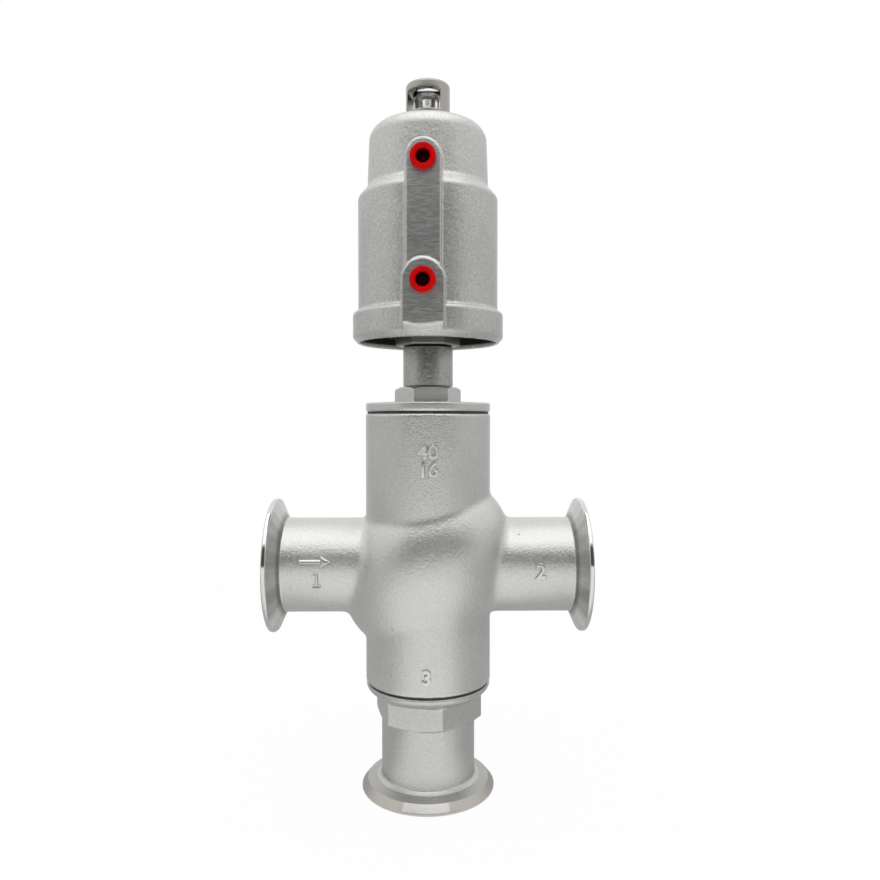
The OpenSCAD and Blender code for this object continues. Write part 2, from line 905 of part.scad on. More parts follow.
// A push-in plug: a head with a deep blind hole and a shank in the air port.
module dust_plug(z, face_y) {
  head_r = 5.7;
  head_t = 2.2;
  shank_r = air_d / 2 - 0.1;
  shank_len = 7.4;
  hole_r = 2.8;
  color("red")
    rotate([0, 0, actuator_turn])
      translate([0, -face_y - face_gap, act_z + z])
        rotate([90, 0, 0])
          rotate_extrude()
            polygon([
              [0, -shank_len], [shank_r - 0.8, -shank_len], [shank_r, -shank_len + 0.8],
              [shank_r, 0], [head_r - 0.3, 0], [head_r, 0.4], [head_r, head_t - 0.7],
              [head_r - 0.7, head_t], [hole_r + 0.8, head_t], [hole_r, head_t - 0.8],
              [hole_r, -shank_len + 1.6], [0, -shank_len + 1.6]
            ]);
}

module dust_plug_upper() {
  dust_plug(air_high_z, rib_y);
}

module dust_plug_lower() {
  dust_plug(air_low_z, boss_y);
}

valve_body();
seat_partition();
port_a_ferrule();
port_b_ferrule();
end_cap_c();
end_cap_seal();
bonnet_cover();
bonnet_seal();
neck_tube();
lower_guide_bush();
packing_rings();
packing_follower();
packing_spring();
gland_bush();
cylinder_base();
base_rim_seal();
base_stem_seal();
return_spring();
actuator_housing();
base_retaining_ring();
indicator_guard();
sight_dome();
sight_dome_gasket();
indicator_rod_seal();
stem();
plug_holder();
upper_seal_disc();
lower_seal_disc();
upper_clamp_washer();
lower_clamp_washer();
plug_nut();
piston();
piston_seal();
piston_guide_ring();
piston_washer();
piston_nut();
indicator_rod();
dust_plug_upper();
dust_plug_lower();
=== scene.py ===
import bpy
import bmesh
import math
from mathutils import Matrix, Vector


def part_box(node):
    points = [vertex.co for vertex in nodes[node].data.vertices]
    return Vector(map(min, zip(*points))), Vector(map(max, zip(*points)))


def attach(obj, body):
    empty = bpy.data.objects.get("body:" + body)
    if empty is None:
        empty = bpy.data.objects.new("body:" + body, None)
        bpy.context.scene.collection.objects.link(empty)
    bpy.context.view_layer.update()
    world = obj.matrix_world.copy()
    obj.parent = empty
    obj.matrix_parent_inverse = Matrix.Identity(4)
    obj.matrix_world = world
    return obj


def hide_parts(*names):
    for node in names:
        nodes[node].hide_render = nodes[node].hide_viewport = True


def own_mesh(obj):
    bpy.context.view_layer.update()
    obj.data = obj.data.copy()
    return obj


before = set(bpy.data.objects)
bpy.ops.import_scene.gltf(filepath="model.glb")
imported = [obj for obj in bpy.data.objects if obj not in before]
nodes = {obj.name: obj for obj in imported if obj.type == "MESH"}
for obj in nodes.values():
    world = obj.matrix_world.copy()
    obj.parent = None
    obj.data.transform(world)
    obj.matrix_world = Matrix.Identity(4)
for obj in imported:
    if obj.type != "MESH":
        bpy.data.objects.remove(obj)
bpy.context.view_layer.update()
collection = bpy.context.scene.collection
MM = 0.001


# Body casting. One stainless investment casting: an upright barrel, a belly that bulges
# round the sloped partition and two side ports. It is bead blasted all over. The shape is
# a blend of simple solids, worked out by a geometry tree as a distance field.
PORT_Z = 108.0
PORT_R = 22.5
BARREL_R = 30.0
CHAMBER_R = 24.0
PASSAGE_R = 19.6
LOBE_R = 29.0
LOBE_OFF = (7.5, 8.0)
BODY_FOOT = 52.8
BODY_TOP = 180.9
FACE_X = 74.5
SPLICE = 11.5
BELLY_HALF = (40.8, 35.8, 41.4)
BELLY_MEAN = 36.0
BELLY_SLOPE = 0.202
BELLY_BEND = 0.00147
BELLY_LIFT = 1.55
WELD_LAP = 1.2
BARREL_EDGE = 0.7
BORE_EDGE = 0.35


def feed(value, socket):
    """Links a field or a socket into a socket, or sets it to a plain number or colour."""
    if isinstance(value, (Field, bpy.types.NodeSocket)):
        socket.id_data.links.new(getattr(value, "socket", value), socket)
    elif socket.type == "RGBA":
        socket.default_value = (*value[:3], 1.0)
    else:
        socket.default_value = value


def add(tree, kind, feeds=(), **settings):
    """A node with its settings made and its inputs fed."""
    node = tree.nodes.new(kind)
    for key, value in settings.items():
        setattr(node, key, value)
    for slot, value in dict(feeds).items():
        feed(value, node.inputs[slot])
    return node


class Field:
    """A number at every point, built up from math nodes in a geometry or shader tree."""

    # A smooth minimum's reach, over the radius that it rounds a square corner to.
    REACH = 1.17

    def __init__(self, socket):
        self.tree = socket.id_data
        self.socket = socket

    def work(self, operation, *others):
        """The result of a math node on this number and the others."""
        terms = enumerate((self, *others))
        return Field(add(self.tree, "ShaderNodeMath", terms, operation=operation).outputs[0])

    def __add__(self, other):
        return self.work("ADD", other)

    def __sub__(self, other):
        return self.work("SUBTRACT", other)

    def __mul__(self, other):
        return self.work("MULTIPLY", other)

    def __neg__(self):
        return self * -1.0

    def size(self):
        return self.work("ABSOLUTE")

    def least(self, other):
        return self.work("MINIMUM", other)

    def most(self, other):
        return self.work("MAXIMUM", other)

    def below(self, other):
        return self.work("LESS_THAN", other)

    def join(self, other, fillet):
        """Both solids, with a concave fillet of that radius between them."""
        return self.work("SMOOTH_MIN", other, fillet * self.REACH)

    def trim(self, other, round_edge):
        """What both solids share, with its edge rounded to that radius."""
        return self.work("SMOOTH_MAX", other, round_edge * self.REACH)

    def cut(self, other, round_edge):
        """This solid less the other one."""
        return self.trim(-other, round_edge)

    def ramp(self, low, high, out_low=0.0, out_high=1.0):
        """Carried from one range to another, smoothly, and held at both ends."""
        ends = {0: self, 1: low, 2: high, 3: out_low, 4: out_high}
        return Field(add(self.tree, "ShaderNodeMapRange", ends, interpolation_type="SMOOTHSTEP").outputs[0])


def distance(a, b, c=None):
    """Length of the vector whose parts are the given fields."""
    total = a * a + b * b
    if c is not None:
        total = total + c * c
    return total.work("SQRT")


def round_edged(side, end, radius):
    """A solid bounded by a side and an end, with their shared edge rounded exactly."""
    inner = (side + radius).most(end + radius).least(0.0)
    return distance((side + radius).most(0.0), (end + radius).most(0.0)) + inner - radius


def between(z, low, high):
    """The slice from one height to another."""
    return (z - (low + high) / 2).size() - (high - low) / 2


def fresh_group(kind, name, inputs, outputs):
    """An empty node group with the named sockets, what it is given and what it puts out."""
    group = bpy.data.node_groups.new(name, kind + "NodeTree")
    kinds = {"Vector": "Vector", "Colour": "Color", "Skin": "Geometry", "Coil": "Geometry"}
    for labels, way in ((inputs, "INPUT"), (outputs, "OUTPUT")):
        for label in labels:
            socket = "NodeSocket" + kinds.get(label, "Float")
            group.interface.new_socket(name=label, in_out=way, socket_type=socket)
    return group, group.nodes.new("NodeGroupInput").outputs, group.nodes.new("NodeGroupOutput").inputs


class Casting:
    """A geometry tree that turns a distance field in millimetres into a closed skin."""

    # The first skin is moved to the true surface in two steps, each nearly all the way.
    STEPS = 2
    STEP = 0.9 * MM
    OUTSIDE = -5.0

    def __init__(self, name, sizes):
        self.sizes = sizes
        self.tree, self.given, self.out = fresh_group("Geometry", name, sizes, ["Skin"])
        place = add(self.tree, "GeometryNodeInputPosition").outputs[0]
        self.spot = [part * (1.0 / MM) for part in split(place)]

    def value(self, label):
        return Field(self.given[label])

    def skin(self, name, solid, low, high, material):
        """Meshes the solid inside the box low to high and returns it as a plain mesh."""
        tree = self.tree
        corners = {"Min": [v * MM for v in low], "Max": [v * MM for v in high]}
        filled = {"Density": -solid, "Background": self.OUTSIDE, **corners}
        block = add(tree, "GeometryNodeVolumeCube", filled)
        for axis, a, b in zip("XYZ", low, high):
            count = (self.value("Cell") * (1.0 / (b - a))).work("POWER", -1.0)
            feed(count, block.inputs["Resolution " + axis])
        shell = add(tree, "GeometryNodeVolumeToMesh", {"Volume": block.outputs[0], "Threshold": 0.0})
        last = shell.outputs["Mesh"]
        outward = tree.nodes.new("GeometryNodeInputNormal").outputs[0]
        for _ in range(self.STEPS):
            step = vec("SCALE", outward, solid * -self.STEP)
            last = add(tree, "GeometryNodeSetPosition", {"Geometry": last, "Offset": step}).outputs[0]
        last = add(tree, "GeometryNodeSetShadeSmooth", {0: last}).outputs[0]
        return grown(name, last, self.out, self.sizes, material)


def placed(name, data):
    """A new object in the scene."""
    thing = bpy.data.objects.new(name, data)
    collection.objects.link(thing)
    return thing


def grown(name, last, out, sizes, material):
    """Ends a geometry tree, runs it with its named sizes and keeps a plain mesh."""
    tree = last.id_data
    last = add(tree, "GeometryNodeRealizeInstances", {0: last}).outputs[0]
    last = add(tree, "GeometryNodeSetMaterial", {0: last, "Material": material}).outputs[0]
    feed(last, out[0])
    seed = placed(name + "_seed", bpy.data.meshes.new(name + "_seed"))
    modifier = seed.modifiers.new("Shape", "NODES")
    modifier.node_group = tree
    for item in tree.interface.items_tree:
        if item.in_out == "INPUT" and item.name in sizes:
            modifier[item.identifier] = sizes[item.name]
    seed.data.update()
    ready = seed.evaluated_get(bpy.context.evaluated_depsgraph_get())
    mesh = bpy.data.meshes.new_from_object(ready)
    mesh.name = name
    seed.modifiers.remove(modifier)
    bpy.data.objects.remove(seed)
    mesh.materials.clear()
    mesh.materials.append(material)
    return placed(name, mesh)


def split(vector):
    """The three parts of a vector, as fields."""
    return [Field(part) for part in add(vector.id_data, "ShaderNodeSeparateXYZ", {0: vector}).outputs]


def vec(operation, vector, other=None):
    """A vector worked out from vectors; its length, and what it is scaled by, are numbers."""
    feeds = {0: vector} if other is None else {0: vector, "Scale" if operation == "SCALE" else 1: other}
    node = add(vector.id_data, "ShaderNodeVectorMath", feeds, operation=operation)
    return Field(node.outputs["Value"]) if operation == "LENGTH" else node.outputs[0]


def noise(place, scale, detail, roughness=0.5):
    """Cloudiness or grain, a half on average."""
    feeds = {"Vector": place, "Scale": scale, "Detail": detail, "Roughness": roughness}
    return Field(add(place.id_data, "ShaderNodeTexNoise", feeds).outputs[0])


def cells(place, scale, **settings):
    """A pattern of scattered cells: its node, and the distance from their middles."""
    pattern = add(place.id_data, "ShaderNodeTexVoronoi", {"Vector": place, "Scale": scale}, **settings)
    return pattern, Field(pattern.outputs["Distance"])


def blasted_skin():
    """Bead blasted steel: fine dimples, soft mottling from handling and a few cast pits."""
    inputs = ("Vector", "Colour", "Grain", "Speckle", "Mottle", "Roughness")
    group, given, out = fresh_group("Shader", "Blasted skin", inputs, ("Colour", "Roughness", "Height"))
    place = given["Vector"]
    grain, speckle, mottle, roughness = (Field(given[label]) for label in inputs[2:])
    fine = noise(place, grain, 2.0, 0.6)
    dimpled, dimples = cells(place, grain, feature="SMOOTH_F1")
    dimpled.inputs["Smoothness"].default_value = 0.6
    peel = noise(place, grain * 0.5, 1.0)
    broad = noise(place, 70.0, 3.0, 0.55)
    cloud = broad + noise(place, 16.0, 1.0) - 1.0
    few = noise(place, 85.0, 0.0).ramp(0.62, 0.7)
    pit = cells(place, 190.0)[1].ramp(0.05, 0.11, 1.0, 0.0) * few
    uneven = fine - 0.5
    light = uneven * (speckle * 2.4) + cloud * (mottle * 2.0) - pit * 0.35 + 1.0
    feed(vec("SCALE", given["Colour"], light), out["Colour"])
    feed(uneven * 0.16 + cloud * 0.12 + roughness, out["Roughness"])
    feed(dimples * 0.5 + fine + broad * 1.6 + peel * 0.6 - pit * 2.5, out["Height"])
    return group


BLASTED = blasted_skin()


def blasted(coords, colour, grain, speckle, mottle, roughness):
    """Colour, roughness and height of a blasted surface."""
    feeds = {"Vector": coords, "Colour": colour, "Grain": grain, "Speckle": speckle, "Mottle": mottle}
    feeds["Roughness"] = roughness
    return add(coords.id_data, "ShaderNodeGroup", feeds, node_tree=BLASTED).outputs


def looks(material):
    """The inputs of a material's Principled shader."""
    return material.node_tree.nodes["Principled BSDF"].inputs


def fresh_material(name, metallic=1.0, **values):
    """A new material and its object coordinates."""
    material = bpy.data.materials.new(name)
    material.use_nodes = True
    for label, number in {"Metallic": metallic, **values}.items():
        looks(material)[label.replace("_", " ")].default_value = number
    return material, material.node_tree.nodes.new("ShaderNodeTexCoord").outputs["Object"]


def coat(material, colour, roughness, height, depth):
    """Gives a material a colour, a roughness and a relief of that depth in millimetres."""
    relief = {"Height": height, "Strength": 1.0, "Distance": depth * MM}
    bump = add(material.node_tree, "ShaderNodeBump", relief).outputs[0]
    for slot, value in (("Base Color", colour), ("Roughness", roughness), ("Normal", bump)):
        feed(value, looks(material)[slot])
    return material


def blasted_steel(name, colour, roughness, grain, speckle, mottle, depth):
    """A cast or turned steel surface, bead blasted."""
    material, coords = fresh_material(name)
    skin = blasted(coords, colour, grain, speckle, mottle, roughness)
    return coat(material, skin["Colour"], skin["Roughness"], skin["Height"], depth)


cast_body = blasted_steel(
    "Blasted body casting", (0.657, 0.661, 0.639), 0.42, grain=1050.0, speckle=0.17, mottle=0.07, depth=0.085)
# The side ports are blasted finer than the belly and come out a little smoother.
dull = looks(cast_body)["Roughness"]
across = split(cast_body.node_tree.nodes["Texture Coordinate"].outputs["Object"])[0]
feed(Field(dull.links[0].from_socket) - across.size().ramp(29.0 * MM, 37.0 * MM) * 0.015, dull)

body = Casting("Body casting", {"Belly fillet": 1.5, "Port fillet": 3.2, "Cell": 1.0})
x, y, z = body.spot
r = distance(x, y)
up = z - PORT_Z
barrel = round_edged(r - BARREL_R, between(z, BODY_FOOT, BODY_TOP), BARREL_EDGE)
lean = up - x * BELLY_SLOPE + x * x * BELLY_BEND - BELLY_LIFT
half_x, half_y, half_z = BELLY_HALF
belly = distance(x * (1.0 / half_x), y * (1.0 / half_y), lean * (1.0 / half_z))
belly = (belly - 1.0) * BELLY_MEAN
pipes = (distance(y, up) - PORT_R).trim(x.size() - (FACE_X - SPLICE + WELD_LAP), 0.1)
solid = barrel.join(belly, body.value("Belly fillet")).join(pipes, body.value("Port fillet"))
off, drop = LOBE_OFF
left_lobe = distance(x + off, y, up + drop) - LOBE_R
right_lobe = distance(x - off, y, up - drop) - LOBE_R
hollow = (r - CHAMBER_R).least(left_lobe).least(right_lobe).least(distance(y, up) - PASSAGE_R)
solid = solid.cut(hollow, BORE_EDGE)
body_piece = body.skin("body_casting", solid, (-67.0, -38.0, 50.0), (67.0, 38.0, 184.0), cast_body)
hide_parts("valve_body")
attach(body_piece, "valve")


# Cast marks. A flow arrow and plain numerals stand a little proud of the port necks and
# of the barrel. They are cast with the body and blasted with it; their flanks are painted dark as painted
# shade.
MARK_RISE = 0.9
MARK_SINK = 0.5
FONT_PER_HEIGHT = 1.38
SLAB_HALF = 0.5
EDGE_STEP = 1.6
FLANK_FACING = 0.35
# Height over the slab's middle, how far foot and sides draw in, and how far the top does.
SLAB_LEVELS = ((-0.5, 0.0, 0.0), (0.1, 0.0, 0.0), (0.34, 0.1, 0.35), (0.46, 0.25, 0.9), (0.5, 0.4, 1.35))


def numeral(text, height, weight):
    """A number as a raised slab that stands on its baseline, in millimetres."""
    data = bpy.data.curves.new("numeral", "FONT")
    data.body, data.size = text, height * FONT_PER_HEIGHT
    data.extrude, data.bevel_depth, data.bevel_resolution = 0.2, 0.3, 2
    data.offset, data.align_x, data.resolution_u = weight, "CENTER", 4
    piece = placed("numeral", data)
    mesh = bpy.data.meshes.new_from_object(piece.evaluated_get(bpy.context.evaluated_depsgraph_get()))
    bpy.data.objects.remove(piece)
    return mesh


def slab(outlines):
    """Flat polygons as one raised slab, its edges drawn in a little and most at the top."""
    shape = bmesh.new()
    for outline in outlines:
        middle = Vector((sum(p[0] for p in outline), sum(p[1] for p in outline), 0)) / len(outline)
        rings = []
        for level, inset, slope in SLAB_LEVELS:
            ring = []
            for u, v in outline:
                pull = [(d > 0.01) - (d < -0.01) for d in (u - middle.x, v - middle.y)]
                down = slope if pull[1] > 0 else inset
                ring.append(shape.verts.new((u - inset * pull[0], v - down * pull[1], level)))
            rings.append(ring)
        count = len(outline)
        for low, high in zip(rings, rings[1:]):
            for i in range(count):
                shape.faces.new((low[i], low[(i + 1) % count], high[(i + 1) % count], high[i]))
        shape.faces.new(rings[-1])
        shape.faces.new(list(reversed(rings[0])))
    mesh = bpy.data.meshes.new("slab")
    shape.to_mesh(mesh)
    shape.free()
    return mesh


def on_surface(name, mesh, radius, along_pipe, centre, turn, material):
    """Wraps a raised slab round a port neck or round the barrel. Centre is the place
    along the axis and turn the angle round it, from the front, in degrees."""
    shape = bmesh.new()
    shape.from_mesh(mesh)
    bmesh.ops.triangulate(shape, faces=shape.faces[:])
    long_edges = [edge for edge in shape.edges if edge.calc_length() > EDGE_STEP]
    bmesh.ops.subdivide_edges(shape, edges=long_edges, cuts=2)
    for vertex in shape.verts:
        u, v, w = vertex.co
        reach = radius + (MARK_RISE if w > 0 else -MARK_SINK) * min(1.0, abs(w) / SLAB_HALF)
        angle = math.radians(turn) + (v if along_pipe else u) / radius
        front, aside = -reach * math.cos(angle), reach * math.sin(angle)
        vertex.co = (centre + u, front, PORT_Z + aside) if along_pipe else (aside, front, centre + v)
    bmesh.ops.remove_doubles(shape, verts=shape.verts, dist=0.0005)
    bmesh.ops.recalc_face_normals(shape, faces=shape.faces[:])
    bmesh.ops.scale(shape, vec=(MM, MM, MM), verts=shape.verts)
    return finished(name, shape, material, 50.0)


def finished(name, shape, material, sharp):
    """A built shape as a piece, smooth but for edges sharper than so many degrees."""
    mesh = bpy.data.meshes.new(name)
    shape.to_mesh(mesh)
    shape.free()
    mesh.materials.append(material)
    mesh.shade_smooth()
    mesh.set_sharp_from_angle(angle=math.radians(sharp))
    return placed(name, mesh)


def finish_zones(piece, finishes, pick):
    """Adds finishes to a piece. Pick takes a face's centre and normal and returns which
    finish it gets, 0 for the one that the piece has already."""
    for material in finishes:
        piece.data.materials.append(material)
    for face in piece.data.polygons:
        face.material_index = pick(face.center / MM, face.normal)


cast_mark = blasted_steel(
    "Blasted cast marks", (0.70, 0.70, 0.69), 0.33, grain=1500.0, speckle=0.05, mottle=0.04, depth=0.03)
# The flanks' dark colour is painted shade, which draws a dark outline round each mark.
mark_flank_painted_shade = blasted_steel(
    "Mark flanks, painted shade", (0.26, 0.26, 0.25), 0.5, grain=1500.0, speckle=0.1, mottle=0.1, depth=0.03)
arrow = [
    [(-7.6, -1.1), (2.4, -1.1), (2.4, 1.1), (-7.6, 1.1)],
    [(2.1, -2.9), (4.6, -1.5), (7.4, 0.0), (4.6, 1.5), (2.1, 2.9)]]
one = [
    [(-1.3, -3.3), (2.5, -3.3), (2.5, -2.1), (-1.3, -2.1)],
    [(0.0, -2.6), (1.3, -2.6), (1.3, 3.4), (0.3, 3.4)],
    [(0.9, 3.4), (0.2, 3.4), (-1.4, 2.2), (-1.4, 1.2)]]
for label, mesh, radius, along_pipe, centre, turn in (
    ("flow_arrow", slab(arrow), PORT_R, True, -51.4, 13.1),
    ("port_mark_1", slab(one), PORT_R, True, -51.6, -8.2),
    ("port_mark_2", numeral("2", 6.8, 0.15), PORT_R, True, 51.7, -6.5),
    ("port_mark_3", numeral("3", 6.6, 0.13), BARREL_R, False, 59.2, -1.4),
    ("size_mark_upper", numeral("40", 6.8, 0.12), BARREL_R, False, 160.7, 0.0),
    ("size_mark_lower", numeral("16", 6.8, 0.12), BARREL_R, False, 152.7, 0.0),
):
    mark = on_surface(label, mesh, radius, along_pipe, centre, turn, cast_mark)

    def top_or_flank(centre, normal):
        out = (0, centre.y, centre.z - PORT_Z) if along_pipe else (centre.x, centre.y, 0)
        return 0 if normal.dot(Vector(out).normalized()) > FLANK_FACING else 1

    finish_zones(mark, [mark_flank_painted_shade], top_or_flank)
    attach(mark, "valve")


# Port ferrules. Each side port ends in a stainless clamp ferrule, turned from bar and
# welded on the casting's neck: a flat face with a gasket groove, a polished rim and a
# cone that the clamp pulls on.
BORE_R = 19.0
FERRULE_R = 32.0
LAND_R = 25.8
RIM_LAND_R = 30.6
GROOVE_R = 28.2
GROOVE_CUT = 2.5
GROOVE_HIGH = 0.9
RIM = 2.0
CONE_FOOT = 6.3
CONE_END = 6.7
WELD_R = PORT_R + 0.02
WELD_DEEP = SPLICE + 0.1
PORT_TILT = -90.0
STRAIGHT = math.radians(88)


def softened(points, steps=4):
    """A closed outline of (radius, height, fillet) with each corner turned to an arc."""
    outline = []
    count = len(points)
    for i, (px, py, fillet) in enumerate(points):
        here = Vector((px, py))
        back = Vector(points[i - 1][:2]) - here
        ahead = Vector(points[(i + 1) % count][:2]) - here
        a, b = back.normalized(), ahead.normalized()
        half = math.acos(max(-1.0, min(1.0, a.dot(b)))) / 2
        if fillet <= 0 or half > STRAIGHT:
            outline.append(tuple(here))
            continue
        run = min(fillet / math.tan(half), 0.49 * back.length, 0.49 * ahead.length)
        for k in range(steps + 1):
            t = k / steps
            outline.append(tuple(here + a * run * (1 - t) ** 2 + b * run * t ** 2))
    return outline


def turned(name, outline, material, origin=(0, 0, 0), axis=(0, 0, 1), segments=144):
    """A solid of revolution from a closed outline of (radius, distance along the axis)."""
    axis = Vector(axis).normalized()
    side = Vector((0, -1, 0)) if abs(axis.y) < 0.9 else Vector((1, 0, 0))
    side = (side - axis * side.dot(axis)).normalized()
    other = axis.cross(side)
    shape = bmesh.new()
    rings = []
    for radius, height in outline:
        centre = Vector(origin) + axis * height
        ring = []
        for i in range(segments if radius > 1e-6 else 1):
            angle = math.tau * i / segments
            out = side * math.cos(angle) + other * math.sin(angle)
            ring.append(shape.verts.new((centre + out * radius) * MM))
        rings.append(ring)
    for low, high in zip(rings, rings[1:] + rings[:1]):
        for i in range(segments):
            j = (i + 1) % segments
            around = (low[i % len(low)], low[j % len(low)], high[j % len(high)], high[i % len(high)])
            corners = list(dict.fromkeys(around))
            if len(corners) > 2:
                shape.faces.new(corners)
    bmesh.ops.recalc_face_normals(shape, faces=shape.faces[:])
    return finished(name, shape, material, 32.0)


def lathe_marks():
    """The fine rings that a turning tool leaves, as a height and a light and dark value."""
    group, given, out = fresh_group("Shader", "Lathe rings", ["Vector"], ["Ring", "Height"])
    x, y, z = split(given["Vector"])
    place = add(group, "ShaderNodeCombineXYZ", {0: distance(x, y), 1: z}).outputs[0]
    rings = noise(place, 2400.0, 3.0, 0.6)
    coarse = noise(place, 520.0, 1.0)
    feed(rings - 0.5 + (coarse - 0.5) * 0.6, out["Ring"])
    feed(rings, out["Height"])
    return group


LATHE = lathe_marks()


def tint(share, one, two):
    """A mix of two colours, each a socket or a plain colour."""
    return add(share.tree, "ShaderNodeMix", {0: share, 6: one, 7: two}, data_type="RGBA").outputs[2]


def turned_steel(
        name, colour, roughness, origin=(0, 0, 0), tilt=0.0,
        depth=0.01, contrast=0.18, stain=0.0, stain_colour=(0.5, 0.46, 0.4)):
    """Steel straight from the lathe: rings about the piece's own axis, and faint stains.
    The axis is upright, or along the ports with a tilt of -90 degrees."""
    material, coords = fresh_material(name)
    shift = vec("SUBTRACT", coords, [v * MM for v in origin])
    turn = {"Vector": shift, "Rotation": (0.0, math.radians(tilt), 0.0)}
    place = add(coords.id_data, "ShaderNodeMapping", turn, vector_type="POINT").outputs[0]
    marks = add(coords.id_data, "ShaderNodeGroup", {"Vector": place}, node_tree=LATHE).outputs
    ring = Field(marks["Ring"])
    cloud = noise(coords, 60.0, 4.0, 0.6)
    base = tint(cloud.ramp(0.42, 0.68, 0.0, stain), colour, stain_colour)
    shade = vec("SCALE", base, ring * contrast + 1.0)
    return coat(material, shade, (cloud - 0.5) * 0.12 + ring * 0.1 + roughness, marks["Height"], depth)


def ferrule_outline(back):
    """Face, gasket groove and rounded rim, then the given back, up to the weld."""
    sweep = [math.radians(degrees) for degrees in range(24, 158, 12)]
    groove = [(GROOVE_R - GROOVE_CUT * math.cos(a), GROOVE_CUT * math.sin(a) - GROOVE_HIGH, 0) for a in sweep]
    face = [(BORE_R, 0, 0.3), (LAND_R, 0, 0), *groove, (RIM_LAND_R, 0, 0), (FERRULE_R, 0, 1.3)]
    weld = [(WELD_R, WELD_DEEP, 0), (BORE_R, WELD_DEEP, 0)]
    return softened(face + back + weld, 8)


def painted_sweeps_and_shade(material, origin):
    """Painted reflections as light and dark sweeps round a turned cone, and painted shade as a
    darker ring in its inner corner. Reflections spread across the tool's rings, for a port axis along X."""
    tree, skin = material.node_tree, looks(material)
    feed(add(tree, "ShaderNodeTangent", direction_type="RADIAL", axis="X").outputs[0], skin["Tangent"])
    feed(0.7, skin["Anisotropic"])
    coords = tree.nodes["Texture Coordinate"].outputs["Object"]
    centred = vec("SUBTRACT", coords, [v * MM for v in origin])
    flat = vec("MULTIPLY", centred, (0.0, 1.0, 1.0))
    # The sweeps round the axis are painted reflections.
    sweep = noise(vec("NORMALIZE", flat), 4.5, 3.0, 0.6).ramp(0.32, 0.68, 0.86, 1.16)
    # The darker ring near the neck is painted shade in the cone's inner corner.
    corner = vec("LENGTH", flat).ramp(22.8 * MM, 26.0 * MM, 0.45, 1.0)
    shade = skin["Base Color"].links[0].from_socket
    feed(vec("SCALE", shade, sweep * corner), skin["Base Color"])


def side_zone(centre, normal):
    """Polished face, rim and bore, then the turned cone, then the cast neck."""
    deep, reach = FACE_X - abs(centre.x), math.hypot(centre.y, centre.z - PORT_Z)
    if reach < PORT_R - 0.5 or deep < RIM + 0.2:
        return 0
    return 1 if deep < CONE_END else 2


for side, label in ((-1, "a"), (1, "b")):
    origin = (side * FACE_X, 0, PORT_Z)
    polished = turned_steel(
        "Polished rim " + label, (0.74, 0.73, 0.715), 0.07, origin, PORT_TILT,
        depth=0.003, contrast=0.06, stain=0.25)
    cone = turned_steel(
        "Turned cone " + label, (0.63, 0.625, 0.61), 0.30, origin, PORT_TILT, depth=0.008, contrast=0.12)
    painted_sweeps_and_shade(cone, origin)
    outline = ferrule_outline([(FERRULE_R, RIM, 1.4), (WELD_R, CONE_FOOT, 2.0)])
    piece = turned("port_%s_ferrule_turned" % label, outline, polished, origin, (-side, 0, 0))
    finish_zones(piece, [cone, cast_body], side_zone)
    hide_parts("port_%s_ferrule" % label)
    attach(piece, "valve")


# Bottom end cap. A second stainless casting with port C's neck, a hexagon for the spanner
# and a round flange, screwed into the barrel's foot against a thin black seal. Its
# ferrule is turned in one piece with it.
CAP_HEX = 46.0
CAP_HEX_TURN = -46.0
CAP_HEX_FOOT = 34.5
CAP_HEX_TOP = 48.5
CAP_NECK_FOOT = 10.3
CAP_NECK_TOP = 49.7
FLANGE_FOOT = 46.0
CAP_TOP = 51.8
SPIGOT_R = 23.95
SPIGOT_TOP = 64.8
SEAT_RING_R = 19.8
SEAT_FOOT = 60.0
SEAT_TOP = 68.8
SEAT_BORE_R = 16.0
BEVEL_R = 29.3
CONE_R = 24.9
PATCH_X = -1.0
PATCH_HALF = 10.8
PATCH_Y = -24.0
PATCH_FOOT = 1.5


def hexagon(x, y, flats, turn, edge):
    """A six-sided prism, endless along the axis, with its corners eased."""
    angles = [math.radians(turn + 60 * k) for k in range(3)]
    first, second, third = ((x * math.cos(a) + y * math.sin(a)).size() - flats / 2 for a in angles)
    return first.trim(second, edge).trim(third, edge)


def drum(r, z, size, edge):
    """A cylinder of (radius, foot, top) with its end edges eased."""
    return (r - size[0]).trim(between(z, *size[1:]), edge)


def slanted(r, z, point, facing):
    """All that lies behind a slanted face through a point of (radius, height)."""
    return (r - point[0]) * facing[0] + (z - point[1]) * facing[1]


cast_cap = blasted_steel(
    "Blasted end cap", (0.585, 0.59, 0.565), 0.40, grain=950.0, speckle=0.2, mottle=0.08, depth=0.06)
cap = Casting("End cap", {"Cell": 0.7})
x, y, z = cap.spot
r = distance(x, y)
neck = round_edged(r - PORT_R, between(z, CAP_NECK_FOOT, CAP_NECK_TOP), 0.1)
nut = hexagon(x, y, CAP_HEX, CAP_HEX_TURN, 0.5).trim(between(z, CAP_HEX_FOOT, CAP_HEX_TOP), 0.3)
nut = nut.trim(slanted(r, z, (23.0, CAP_HEX_FOOT), (0.42, -0.907)), 0.3)
under = slanted(r, z, (27.2, 47.4), (0.60, -0.80))
flange = round_edged(r - BARREL_R, z - CAP_TOP, 0.6).trim(under, 3.0).trim(-(z - FLANGE_FOOT), 0.5)
spigot = (r - SPIGOT_R).trim(z - SPIGOT_TOP, 0.4).trim(-(z - FLANGE_FOOT), 0.5)
seat = (r - SEAT_RING_R).trim(z - SEAT_TOP, 0.4).trim(-(z - SEAT_FOOT), 0.3)
solid = neck.join(nut, 0.5).join(flange, 1.2).least(spigot).least(seat)
throat = (r - (BORE_R + 0.05)).most(slanted(r, z, (BORE_R, 57.8), (0.894, 0.447))).least(r - SEAT_BORE_R)
cap_piece = cap.skin("end_cap_casting", solid.cut(throat, 0.3), (-32, -32, 9), (32, 32, 71), cast_cap)
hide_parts("end_cap_c")
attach(cap_piece, "valve")

